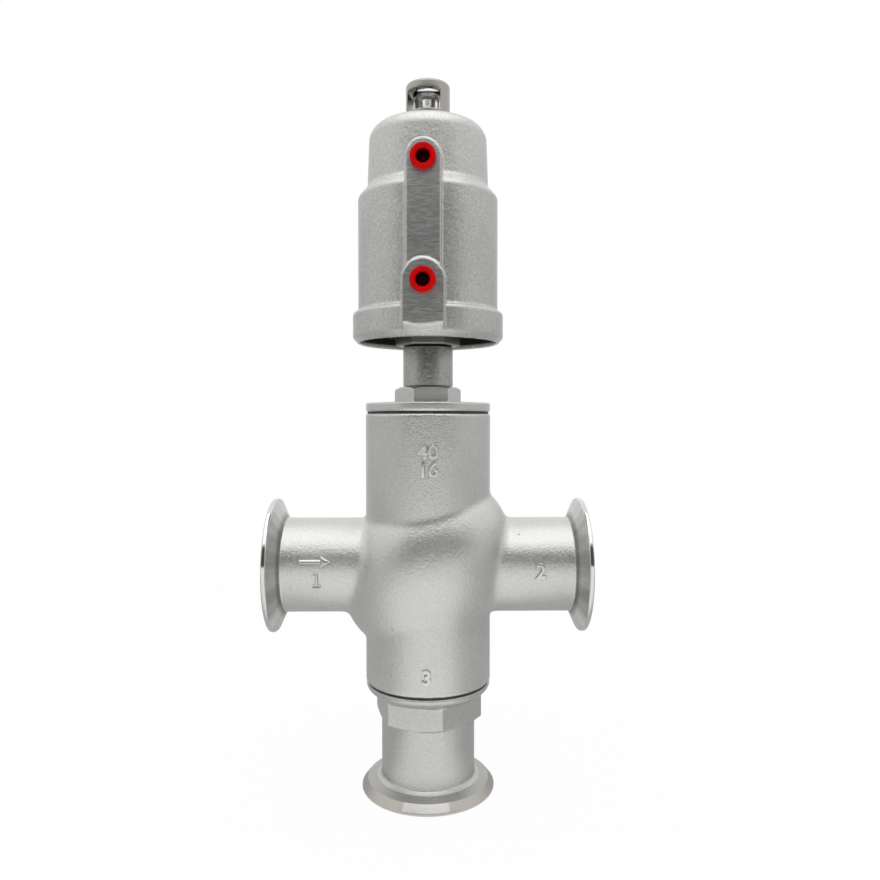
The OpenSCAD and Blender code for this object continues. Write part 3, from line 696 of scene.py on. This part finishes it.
cap_rim = turned_steel("Turned rim c", (0.50, 0.48, 0.45), 0.30, depth=0.006, contrast=0.12, stain=0.5)
# The cone is blasted like the cap; its darker colour is painted shade under the hexagon and barrel that hang
# over it.
cap_cone_painted_shade = blasted_steel(
    "Blasted cone c, painted shade", (0.46, 0.46, 0.445), 0.44, grain=1000.0, speckle=0.2, mottle=0.1, depth=0.06)
cap_patch = blasted_steel(
    "Matt patch", (0.72, 0.71, 0.68), 0.45, grain=1300.0, speckle=0.2, mottle=0.16, depth=0.03)
outline = ferrule_outline([(FERRULE_R, 1.3, 0.5), (BEVEL_R, 4.5, 0.3), (24.4, 5.7, 1.0), (WELD_R, 7.0, 1.4)])
piece = turned("port_c_ferrule", outline, cap_rim, segments=180)


def cap_zone(centre, normal):
    """Turned bevel and bore, blasted cone, cast neck, and a matt patch in the front."""
    reach = math.hypot(centre.x, centre.y)
    if reach < PORT_R - 0.5 or reach > BEVEL_R or centre.z < 2.0:
        matt = abs(centre.x - PATCH_X) < PATCH_HALF and centre.y < PATCH_Y and centre.z > PATCH_FOOT
        return 3 if matt else 0
    return 1 if reach > CONE_R else 2


finish_zones(piece, [cap_cone_painted_shade, cast_cap, cap_patch], cap_zone)
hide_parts("end_cap_c")
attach(piece, "valve")


# Flat seals. Black rings of seal rubber in the seams at both ends of the barrel, under
# the bonnet and over the end cap; only their edges show, as thin dark lines.
def rubber(name):
    """Moulded seal rubber with a slight bloom."""
    material, coords = fresh_material(name, metallic=0.0)
    bloom = noise(coords, 240.0, 4.0)
    shade = tint(bloom.ramp(0.4, 0.75), (0.02, 0.02, 0.022), (0.054, 0.054, 0.0584))
    return coat(material, shade, (bloom - 0.5) * 0.3 + 0.55, noise(coords, 2600.0, 2.0), 0.015)


def dress(material, *names):
    """Gives CAD pieces that keep their own shape a finish."""
    for name in names:
        for place in nodes[name].material_slots:
            place.material = material


dress(rubber("Seal rubber"), "end_cap_seal", "bonnet_seal")
dress(cast_body, "seat_partition")


# Bonnet. A blasted steel cover screwed into the barrel's top, with a hexagon for the
# spanner and a threaded socket for the neck tube.
BONNET_HEX = 28.0
BONNET_HEX_TURN = -24.0
BONNET_HEX_FOOT = 184.4
BONNET_TOP = 193.6
BONNET_DISC = (181.9, 186.1)
BONNET_PLUG = (SPIGOT_R, 167.9, 184.1)
SOCKET_R = 10.55
SOCKET_FOOT = 171.9
STEM_ROOM_R = 6.0

bonnet_steel = blasted_steel(
    "Blasted bonnet", (0.69, 0.693, 0.67), 0.36, grain=1400.0, speckle=0.07, mottle=0.05, depth=0.035)
bonnet = Casting("Bonnet", {"Cell": 0.6})
x, y, z = bonnet.spot
r = distance(x, y)
disc = round_edged(r - BARREL_R, between(z, *BONNET_DISC), 0.7)
nut = hexagon(x, y, BONNET_HEX, BONNET_HEX_TURN, 0.35).trim(between(z, BONNET_HEX_FOOT, BONNET_TOP), 0.3)
nut = nut.trim(slanted(r, z, (14.4, 193.3), (0.5, 0.866)), 0.3)
socket = (r - SOCKET_R).trim(-(z - SOCKET_FOOT), 0.2).least(r - STEM_ROOM_R)
solid = disc.join(nut, 0.8).least(drum(r, z, BONNET_PLUG, 0.5)).cut(socket, 0.3)
piece = bonnet.skin("bonnet", solid, (-32, -32, 166), (32, 32, 195.5), bonnet_steel)
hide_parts("bonnet_cover")
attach(piece, "valve")


# Neck and stem packing. A turned tube carries the actuator; inside it chevron rings are
# pressed together by a coil spring between a follower and a gland, round the stem.
TUBE_FOOT = 172.2
TUBE_FLOOR = 175.2
TUBE_WIDE = 212.9
TUBE_TOP = 224.5
TUBE_R = 12.0
TUBE_BORE_R = 8.0
BUSH_R = 5.05


def neck_steel():
    """Coarsely turned and blasted tube, with painted shade down the front mottled by noise, and painted shade
    as a near-black band at its top, in the gap under the base.
    """
    material, coords = fresh_material("Neck tube, painted front shade")
    skin = blasted(coords, (0.50, 0.505, 0.48), grain=800.0, speckle=0.34, mottle=0.14, roughness=0.38)
    x, y, z = split(coords)
    # Painted shade: the front of the tube is darkened, in patches of noise.
    front = x.size().ramp(0.001, 0.0075, 1.0, 0.0) * y.ramp(-0.004, -0.010)
    front_painted_shade = front * noise(coords, 420.0, 3.0).ramp(0.2, 0.8, 0.35, 0.8)
    shade = tint(front_painted_shade, skin["Colour"], (0.29, 0.29, 0.265))
    # Painted shade: a near-black band at the tube's top, in the gap under the base.
    shade = tint(z.ramp(0.2122, 0.2127), shade, (0.03, 0.03, 0.028))
    return coat(material, shade, skin["Roughness"], skin["Height"], 0.09)


tube = softened([
    (BUSH_R, TUBE_FOOT, 0), (10.5, TUBE_FOOT, 0.4), (10.5, BONNET_TOP, 0), (11.5, 193.8, 0.2),
    (TUBE_R, 194.4, 0.3), (TUBE_R, TUBE_WIDE, 0.5), (9.4, TUBE_WIDE, 0), (9.4, TUBE_TOP, 0.3),
    (TUBE_BORE_R, TUBE_TOP, 0), (TUBE_BORE_R, TUBE_FLOOR, 0.2), (BUSH_R, TUBE_FLOOR, 0)])
piece = turned("neck_tube_turned", tube, neck_steel(), segments=96)
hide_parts("neck_tube")
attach(piece, "valve")


def seal_plastic(name, colour, fleck):
    """Pressed and turned bearing or seal plastic, with fine flecks of its filler."""
    material, coords = fresh_material(name, metallic=0.0)
    flecks = cells(coords, 1500.0)[1]
    cloud = noise(coords, 110.0, 3.0)
    shade = tint(flecks.ramp(0.1, 0.45, 0.7, 0.0), colour, fleck)
    shade = tint(cloud.ramp(0.45, 0.8, 0.0, 0.3), shade, [c * 0.8 for c in colour])
    return coat(material, shade, (cloud - 0.5) * 0.2 + 0.42, flecks, 0.01)


white_seal = seal_plastic("White seal plastic", (0.82, 0.82, 0.79), (0.76, 0.75, 0.71))
bronze_seal = seal_plastic("Bronze filled plastic", (0.40, 0.28, 0.15), (0.56, 0.40, 0.20))
plain_steel = turned_steel("Turned steel", (0.62, 0.62, 0.61), 0.24, contrast=0.14)
dress(white_seal, "packing_rings")
dress(bronze_seal, "lower_guide_bush", "gland_bush")
dress(plain_steel, "packing_follower")


def coil(name, low, high, material, wire, turns, slack, rings, sides):
    """A compression coil with closed ends that stands in a box, less the slack round it.
    A geometry tree sweeps the wire along a helix."""
    radius, length = (high.x - low.x) / 2 / MM - slack, (high.z - low.z) / MM
    sizes = {"Radius": radius * MM, "Wire": wire * MM / 2, "Turns": turns}
    sizes.update(Foot=low.z, Length=length * MM)
    tree, given, out = fresh_group("Geometry", name, sizes, ["Coil"])
    reach, thick, count, floor, tall = (Field(given[label]) for label in sizes)
    line = add(tree, "GeometryNodeCurvePrimitiveLine").outputs[0]
    steps = {"Curve": line, "Count": int(turns * rings) + 1}
    points = add(tree, "GeometryNodeResampleCurve", steps).outputs[0]
    turn = Field(add(tree, "GeometryNodeSplineParameter").outputs["Factor"]) * count
    # The first and last turn lie flat, so the climb is squeezed in between them.
    closed = wire / (length - wire)
    first = turn.least(1.0) * closed
    last = (turn - count + 1.0).most(0.0) * closed
    middle = (turn - 1.0).most(0.0).least(count - 2.0)
    climb = middle * ((1.0 - 2.0 * closed) / (turns - 2.0)) + first + last
    angle = turn * math.tau
    rise = climb * (tall - thick * 2.0) + thick + floor
    helix = reach * angle.work("COSINE"), reach * angle.work("SINE"), rise
    spot = add(tree, "ShaderNodeCombineXYZ", enumerate(helix)).outputs[0]
    path = add(tree, "GeometryNodeSetPosition", {"Geometry": points, "Position": spot}).outputs[0]
    section = add(tree, "GeometryNodeCurvePrimitiveCircle", {"Radius": thick, "Resolution": sides}).outputs[0]
    swept = {"Curve": path, "Profile Curve": section, "Fill Caps": True}
    piece = grown(name, add(tree, "GeometryNodeCurveToMesh", swept).outputs[0], out, sizes, material)
    piece.data.shade_smooth()
    piece.data.set_sharp_from_angle(angle=math.radians(50))
    return piece


spring_wire = turned_steel(
    "Drawn spring wire", (0.40, 0.40, 0.40), 0.3, contrast=0.1, stain=0.4, stain_colour=(0.22, 0.2, 0.18))
low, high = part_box("packing_spring")
piece = coil("packing_coil", low, high, spring_wire, wire=1.5, turns=3.5, slack=0.75, rings=40, sides=12)
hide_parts("packing_spring")
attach(piece, "valve")


# Stem and plug. The stem carries a steel plug holder between two white sealing discs,
# clamped by washers and a nut; each disc closes on one seat. It runs up to the piston.
dress(turned_steel("Ground stem", (0.66, 0.66, 0.65), 0.16, depth=0.004, contrast=0.08), "stem")
dress(plain_steel, "plug_holder", "upper_clamp_washer", "lower_clamp_washer", "plug_nut")
dress(white_seal, "upper_seal_disc", "lower_seal_disc")


# Cylinder base. A turned disc with a hexagon under it, screwed on the neck tube; it
# closes the cylinder from below, with a seal round its rim and one round the stem.
BASE_R = 32.95
BASE_HEX = 27.0
BASE_HEX_TURN = -90.0
BASE_HEX_SPAN = (213.4, 222.6)
BASE_MIDDLE = 227.0
BASE_HALF = 5.0
HUB = (17.6, 225.0, 235.0)
THREAD_R = 9.45
THREAD_TOP = 224.8
SEAL_ROOM = (7.6, 229.0, 231.7)
RIM_GROOVE_R = 30.45
RIM_GROOVE_HALF = 1.35

# The base's dark colour is painted shade, for where it sits inside the housing's skirt.
base_steel_painted_shade = turned_steel(
    "Turned base, painted shade", (0.27, 0.27, 0.26), 0.40, contrast=0.22, stain=0.5, stain_colour=(0.33, 0.32, 0.30))
base = Casting("Cylinder base", {"Cell": 0.6})
x, y, z = base.spot
r = distance(x, y)
high = z - BASE_MIDDLE
disc = round_edged(r - BASE_R, high.size() - BASE_HALF, 0.6)
disc = disc.trim(slanted(r, z, (BASE_R, BASE_MIDDLE), (0.94, 0.34)), 0.3)
nut = hexagon(x, y, BASE_HEX, BASE_HEX_TURN, 0.35).trim(between(z, *BASE_HEX_SPAN), 0.2)
hole = (r - THREAD_R).trim(z - THREAD_TOP, 0.1).least(r - BUSH_R).least(drum(r, z, SEAL_ROOM, 0.1))
groove = (-(r - RIM_GROOVE_R)).trim(high.size() - RIM_GROOVE_HALF, 0.1)
solid = disc.join(nut, 0.4).least(drum(r, z, HUB, 0.4)).cut(hole, 0.2).cut(groove, 0.1)
piece = base.skin("cylinder_base_turned", solid, (-34.5, -34.5, 212), (34.5, 34.5, 237), base_steel_painted_shade)
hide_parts("cylinder_base")
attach(piece, "valve")
dress(
    rubber("Ring rubber"),
    "base_rim_seal", "base_stem_seal", "piston_seal", "indicator_rod_seal", "sight_dome_gasket")


# Return spring and piston. The spring stands on the base and lifts the piston; the
# piston is turned aluminium with a rubber seal and a bronze filled guide ring.
low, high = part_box("return_spring")
piece = coil("return_coil", low, high, spring_wire, wire=4.0, turns=4.5, slack=2.0, rings=60, sides=16)
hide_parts("return_spring")
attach(piece, "valve")
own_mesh(piece)
dress(turned_steel("Turned aluminium", (0.78, 0.78, 0.79), 0.3, contrast=0.2), "piston")
dress(bronze_seal, "piston_guide_ring")
dress(plain_steel, "piston_washer", "piston_nut")


# Actuator housing. An investment casting: a flared skirt with a turned lip, the
# cylinder, a sloped shoulder and the spring housing with its domed top. One long rib and
# one boss, both belt ground on their faces, carry the threaded air ports.
HOUSING_FOOT = 214.5
HOUSING_TURN = math.radians(-3.5)
CYLINDER_R = 33.4
SHOULDER = 68.3
CROWN = 105.2
SKIRT_R = 36.0
SKIRT_SPAN = (-5.0, 14.7)
BORE_WIDE_R = 33.0
BORE_WIDE_TOP = 17.6
PISTON_ROOM = (29.0, 67.0)
SPRING_ROOM = (23.5, 96.3)
RING_GROOVE = (33.9, 5.7, 7.4)
AIR_LOW = 24.0
AIR_HIGH = 77.5
AIR_R = 4.3
AIR_DRILL_R = 2.0
AIR_DEEP = 8.2
AIR_DRILL_DEEP = 20.0
RIB_FACE = 35.5
RIB_HALF = 7.9
BOSS_FACE = 38.0
BOSS_HALF = 9.5
FACE_EDGE = 0.65
ROD_HOLE_R = 3.65
GUARD_THREAD = (9.85, 101.3)
ROD_SEAL = (5.7, 98.8, 101.1)


def housing_steel():
    """Blasted casting whose rib faces are belt ground across, darker and streaked, and
    whose bore is painted near black as painted shade, above a lighter turned edge."""
    material, coords = fresh_material("Blasted actuator housing")
    skin = blasted(coords, (0.60, 0.605, 0.583), grain=950.0, speckle=0.3, mottle=0.08, roughness=0.42)
    tree = coords.id_data
    square = {"Vector": coords, "Rotation": (0, 0, -HOUSING_TURN)}
    place = add(tree, "ShaderNodeMapping", square, vector_type="POINT").outputs[0]
    x, y, z = split(place)
    ribs = y.below(-(RIB_FACE - 0.12) * MM) * x.size().below(0.0089)
    streaks = vec("MULTIPLY", place, (0.10, 0.3, 1.0))
    lines = noise(streaks, 2600.0, 3.0, 0.65)
    bands = noise(streaks, 300.0, 2.0)
    level = (lines - 0.5) * 0.75 + 0.61 + (bands - 0.5) * 0.12
    ground = add(tree, "ShaderNodeCombineXYZ", {0: level, 1: level, 2: level * 0.98}).outputs[0]
    shade = tint(ribs, skin["Colour"], ground)
    tall = z - HOUSING_FOOT * MM
    bore = distance(x, y).ramp(33.12 * MM, 33.3 * MM, 1.0, 0.0) * tall.below(0.05)
    # Painted shade: the skirt's bore goes near black above its lighter turned edge.
    bore_painted_shade = tint(tall.ramp(0.0016, 0.0026), (0.72, 0.71, 0.69), (0.045, 0.043, 0.038))
    rough = add(tree, "ShaderNodeMix", {0: ribs, 2: skin["Roughness"], 3: lines * 0.2 + 0.26}).outputs[0]
    height = add(tree, "ShaderNodeMix", {0: ribs, 2: skin["Height"], 3: lines * 0.6}).outputs[0]
    return coat(material, tint(bore, shade, bore_painted_shade), rough, height, 0.075)


def swivelled(casting, turn):
    """A casting's coordinates, turned about its axis."""
    x, y, z = casting.spot
    c, s = math.cos(turn), math.sin(turn)
    return x * c + y * s, y * c - x * s, z


house = Casting("Actuator housing", {"Cell": 0.8, "Rib fillet": 1.3})
x, y, z = swivelled(house, HOUSING_TURN)
z = z - HOUSING_FOOT
r = distance(x, y)
reach = -y
skirt = round_edged(r - SKIRT_R, between(z, *SKIRT_SPAN), 1.9)
cylinder = (r - CYLINDER_R).trim(slanted(r, z, (CYLINDER_R, SHOULDER), (0.762, 0.648)), 0.7)
draft = r + (z - 77.0) * 0.036 - 28.75
crown = slanted(r, z, (11.5, CROWN), (0.225, 0.974))
solid = round_edged(draft, crown, 5.4).join(cylinder, 0.5).join(skirt, 1.6)
rib = distance(x, (z - AIR_HIGH - 1.1).most(0.0)) - RIB_HALF
rib = round_edged(rib, reach - RIB_FACE, FACE_EDGE).trim(-reach, 0.2)
boss = distance(x, (z - AIR_LOW - 0.5).most(0.0)) - BOSS_HALF
boss = round_edged(boss, reach - BOSS_FACE, FACE_EDGE).trim(-reach, 0.2)
solid = solid.join(rib, house.value("Rib fillet")).join(boss, 0.8)
lip = slanted(r, z, (33.7, 0.0), (0.734, -0.679))
solid = solid.trim(lip, 0.5).trim(-z, 0.4)
room = (r - BORE_WIDE_R).trim(z - BORE_WIDE_TOP, 0.2)
room = room.trim(slanted(r, z, (BORE_WIDE_R, 12.5), (0.94, 0.34)), 0.2)
for (room_r, room_top), edge in ((PISTON_ROOM, 0.3), (SPRING_ROOM, 0.8)):
    room = room.least((r - room_r).trim(z - room_top, edge))
room = room.least(drum(r, z, RING_GROOVE, 0.1)).least(drum(r, z, ROD_SEAL, 0.1)).least(r - ROD_HOLE_R)
room = room.least((r - GUARD_THREAD[0]).trim(-(z - GUARD_THREAD[1]), 0.1))
solid = solid.cut(room, 0.25)
for height, face in ((AIR_LOW, BOSS_FACE), (AIR_HIGH, RIB_FACE)):
    off = distance(x, z - height)
    thread = (off - AIR_R).trim(-(reach - (face - AIR_DEEP)), 0.1)
    drilling = (off - AIR_DRILL_R).trim(-(reach - AIR_DRILL_DEEP), 0.1)
    solid = solid.cut(thread.least(drilling), 0.3)
piece = house.skin("actuator_casting", solid, (-38, -40, 212.5), (38, 38, 322.5), housing_steel())
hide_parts("actuator_housing")
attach(piece, "actuator")


# Retaining ring. An open spring steel ring snapped into the skirt's groove; it holds the
# housing on the base and lets it swivel.
dress(spring_wire, "base_retaining_ring")


# Indicator guard. A short turned steel cap screwed into the housing's top, with two
# windows milled through it, over the clear dome.
GUARD_R = 10.5
GUARD_FOOT = 317.6
GUARD_TOP = 337.4
GUARD_TURN = math.radians(-18)
WINDOW_HALF = 8.0
WINDOW_FOOT = 323.5
WINDOW_TOP = 333.4
GUARD_NECK = (9.8, 316.1, 323.9)
GUARD_ROOM = (7.3, 315.0, 335.4)
DOME_SEAT = (8.45, 318.9)

guard_steel = turned_steel(
    "Guard steel", (0.42, 0.405, 0.38), 0.32, contrast=0.2, stain=0.8, stain_colour=(0.42, 0.38, 0.33))
guard = Casting("Indicator guard", {"Cell": 0.36})
x, y, z = swivelled(guard, GUARD_TURN)
r = distance(x, y)
shell = round_edged(r - GUARD_R, between(z, GUARD_TOP - 24, GUARD_TOP), 1.3).trim(-(z - GUARD_FOOT), 0.15)
window = round_edged(x.size() - WINDOW_HALF, z - WINDOW_TOP, 1.5).trim(-(z - WINDOW_FOOT), 0.2)
hollow = drum(r, z, GUARD_ROOM, 0.2).least((r - DOME_SEAT[0]).trim(z - DOME_SEAT[1], 0.1))
solid = shell.least(drum(r, z, GUARD_NECK, 0.2)).cut(hollow, 0.2).cut(window, 0.25)
piece = guard.skin("guard_cap", solid, (-11.5, -11.5, 315), (11.5, 11.5, 338.6), guard_steel)
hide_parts("indicator_guard")
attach(piece, "actuator")


# Sight dome and indicator. A clear moulded dome, flanged under the guard, with the
# bright head of the indicator rod standing inside it while the plug is up.
DOME_FOOT = 316.8
FLANGE_TOP = 318.75
DOME_R = 7.0
DOME_TOP = 335.1
DOME_BORE_R = 4.7
ROD_R = 3.6
ROD_BORE_R = 2.05


def clear_plastic():
    """Clear moulded plastic with faint swirls and dust."""
    material, coords = fresh_material(
        "Clear plastic", metallic=0.0, Transmission_Weight=1.0, IOR=1.48)
    swirl = noise(coords, 160.0, 2.0)
    shade = tint(swirl.ramp(0.35, 0.8), (0.97, 0.98, 0.98), (0.90, 0.93, 0.93))
    return coat(material, shade, swirl.ramp(0.4, 0.8, 0.03, 0.12), swirl, 0.03)


dome = softened([
    (DOME_BORE_R, DOME_FOOT, 0.2), (8.4, DOME_FOOT, 0.2), (8.4, FLANGE_TOP, 0.2), (DOME_R, FLANGE_TOP, 0),
    (DOME_R, DOME_TOP, 2.0), (0, DOME_TOP, 0), (0, 332.9, 0), (DOME_BORE_R, 332.9, 0.9)], 6)
piece = turned("dome_moulding", dome, clear_plastic(), segments=96)
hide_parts("sight_dome")
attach(piece, "actuator")

low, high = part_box("indicator_rod")
foot, top = low.z / MM, high.z / MM
rod_steel = turned_steel("Bright indicator", (0.86, 0.86, 0.86), 0.12, contrast=0.1)
rod = softened([
    (ROD_BORE_R, foot, 0), (ROD_R, foot, 0.2), (ROD_R, top - 6.4, 0), (3.1, top - 6.1, 0),
    (3.1, top - 5.5, 0), (ROD_R, top - 5.2, 0), (ROD_R, top - 2.1, 0), (2.2, top, 0.2), (0, top, 0),
    (0, foot + 7.0, 0), (ROD_BORE_R, foot + 7.0, 0)])
piece = turned("indicator_rod_turned", rod, rod_steel, segments=96)
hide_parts("indicator_rod")
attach(piece, "moving_stem")


# Dust plugs. Soft red plastic plugs pressed into both air ports; each has a round head
# and a blind hole that a screwdriver's tip fits when it is pulled out.
PLUG_R = 4.2
PLUG_HEAD_R = 5.7
PLUG_HOLE_R = 2.6


def red_plastic(name, colour):
    """Soft moulded plastic, waxy and a little scuffed; its darker copy down the hole is painted shade."""
    material, coords = fresh_material(name, metallic=0.0, Specular_IOR_Level=0.07)
    cloud = noise(coords, 220.0, 3.0)
    shade = tint(cloud.ramp(0.35, 0.75), colour, [c * 0.8 for c in colour])
    return coat(material, shade, cloud.ramp(0.3, 0.8, 0.30, 0.42), noise(coords, 2400.0, 2.0), 0.012)


plug_red = red_plastic("Red plastic", (0.58, 0.0006, 0.0016))
# A darker copy for the inside of the hole, as painted shade.
hole_red_painted_shade = red_plastic("Red plastic, painted shade in the hole", (0.07, 0.0005, 0.001))
away = Vector((math.sin(HOUSING_TURN), -math.cos(HOUSING_TURN), 0))
for node, name in (("dust_plug_upper", "upper_dust_plug"), ("dust_plug_lower", "lower_dust_plug")):
    low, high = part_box(node)
    spine = Vector((0, 0, ((low + high) / 2 / MM).z))
    reaches = [vertex.co.dot(away) / MM for vertex in nodes[node].data.vertices]
    foot, head = min(reaches), max(reaches)
    shape = softened([
        (0, foot, 0), (3.4, foot, 0.4), (PLUG_R, foot + 1.4, 0.3), (PLUG_R, head - 2.4, 0),
        (PLUG_HEAD_R, head - 2.4, 0.25), (PLUG_HEAD_R, head, 0.7), (3.9, head, 0.35), (3.0, head - 1.0, 0.4),
        (PLUG_HOLE_R, head - 8.2, 0.3), (0, head - 8.4, 0)])

    def down_hole(centre, normal):
        along, off = (centre - spine).dot(away), (centre - spine).cross(away).length
        return 1 if foot + 0.5 < along < head - 0.9 and off < 3.1 else 0

    piece = turned(name, shape, plug_red, spine, away, segments=72)
    finish_zones(piece, [hole_red_painted_shade], down_hole)
    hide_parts(node)
    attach(piece, "upper_plug" if "upper" in node else "lower_plug")


# Studio. A white floor under the valve and a white backdrop behind it glow in an even,
# pale room. A dark card in front shows only in reflections; two soft lamps hang above.
FLOOR_Z = -0.0004
CARD_GLOW = 0.09


def stage_material(name):
    """An empty material, its tree, the kinds of ray and the place of a point."""
    material = bpy.data.materials.new(name)
    material.use_nodes = True
    tree = material.node_tree
    tree.nodes.clear()
    place = split(tree.nodes.new("ShaderNodeTexCoord").outputs["Object"])
    return material, tree, tree.nodes.new("ShaderNodeLightPath").outputs, place


def shown(share, one, two):
    """Ends a material in one shader, or the other by a share of 1."""
    mix = add(share.tree, "ShaderNodeMixShader", {0: share, 1: one, 2: two}).outputs[0]
    add(share.tree, "ShaderNodeOutputMaterial", {"Surface": mix})


def studio_white(name, share, darker):
    """A pale surface that reads white to the lens and in reflections, and keeps shadows.
    Its reflection grows darker to both sides."""
    material, tree, rays, (x, y, _) = stage_material(name)
    aside = x.size().work("DIVIDE", (-y + 0.03).most(0.01)).ramp(0.3, 1.5, 0.0, darker)
    level = -(aside * rays["Is Glossy Ray"]) + 1.0
    seen = Field(rays["Is Camera Ray"]).most(rays["Is Glossy Ray"]).most(rays["Is Transmission Ray"])
    matte = add(tree, "ShaderNodeBsdfDiffuse", {"Color": (0.82, 0.82, 0.82)}).outputs[0]
    glow = add(tree, "ShaderNodeEmission", {"Strength": level}).outputs[0]
    shown(seen * share, matte, glow)
    return material


def stage_sheet(name, corners, material):
    """One flat sheet that isn't part of the valve."""
    mesh = bpy.data.meshes.new(name)
    mesh.from_pydata(corners, [], [tuple(range(len(corners)))])
    mesh.materials.append(material)
    sheet = placed(name, mesh)


def upright(half, y, low, high):
    """The corners of an upright oblong across the view."""
    return [(-half, y, low), (half, y, low), (half, y, high), (-half, y, high)]


turns = [math.tau * step / 72 for step in range(72)]
floor = [(0.9 * math.cos(turn), -0.7 + 1.2 * math.sin(turn), FLOOR_Z) for turn in turns]
stage_sheet("studio_floor", floor, studio_white("Studio floor", share=0.96, darker=0.5))
wall = upright(0.38, 0.62, FLOOR_Z, 0.55)
stage_sheet("studio_backdrop", wall, studio_white("Studio backdrop", share=1.0, darker=0.0))

card, tree, rays, (x, y, z) = stage_material("Dark card")
cover = x.size().ramp(0.40, 0.85, 1.0, 0.0) * z.ramp(0.145, 0.19) * z.ramp(0.50, 0.68, 1.0, 0.0)
clear = add(tree, "ShaderNodeBsdfTransparent").outputs[0]
dark = add(tree, "ShaderNodeEmission", {"Strength": CARD_GLOW}).outputs[0]
shown(cover * rays["Is Glossy Ray"], clear, dark)
stage_sheet("studio_card", upright(0.9, -0.55, 0.13, 0.7), card)

world = bpy.data.worlds.new("Studio room")
bpy.context.scene.world = world
world.use_nodes = True
sky = world.node_tree
sky.nodes.clear()
y, z = split(sky.nodes.new("ShaderNodeTexCoord").outputs["Generated"])[1:]
ahead = y.ramp(-0.94, -0.42, 1.0, 0.0) * z.ramp(0.06, 0.12, 0.42, 0.0)
room = z.ramp(0.16, 0.46, 0.57, 0.96) + ahead
rays = sky.nodes.new("ShaderNodeLightPath").outputs
plain = Field(rays["Is Camera Ray"]).most(rays["Is Transmission Ray"])
light = {"Strength": room * (-plain + 1.0) + plain, "Color": (1.0, 1.0, 1.0)}
add(sky, "ShaderNodeOutputWorld", {"Surface": add(sky, "ShaderNodeBackground", light).outputs[0]})


def lamp(name, place, target, width, height, watts):
    """A soft oblong lamp that faces its target."""
    data = bpy.data.lights.new(name, "AREA")
    data.shape, data.size, data.size_y, data.energy = "RECTANGLE", width, height, watts
    light = placed(name, data)
    light.location = place
    light.rotation_euler = (Vector(target) - Vector(place)).to_track_quat("-Z", "Y").to_euler()


BELLY_SPOT = (0.0, 0.0, 0.15)
lamp("Top lamp", (0.0, -0.10, 0.95), BELLY_SPOT, width=0.9, height=0.7, watts=1.25)
lamp("Upper front lamp", (0.06, -0.60, 0.97), BELLY_SPOT, width=0.9, height=0.42, watts=0.6)

lens = bpy.data.cameras.new("Lens")
lens.lens = 30.53
lens.sensor_width = 36.0
lens.clip_start = 0.01
camera = placed("Camera", lens)
camera.location = (0.0, -0.3617, 0.1777)
camera.rotation_euler = (math.radians(90.0 - 1.50), 0.0, math.radians(-0.917))
bpy.context.scene.camera = camera
bpy.context.scene.view_settings.view_transform = "Standard"

bpy.context.view_layer.update()
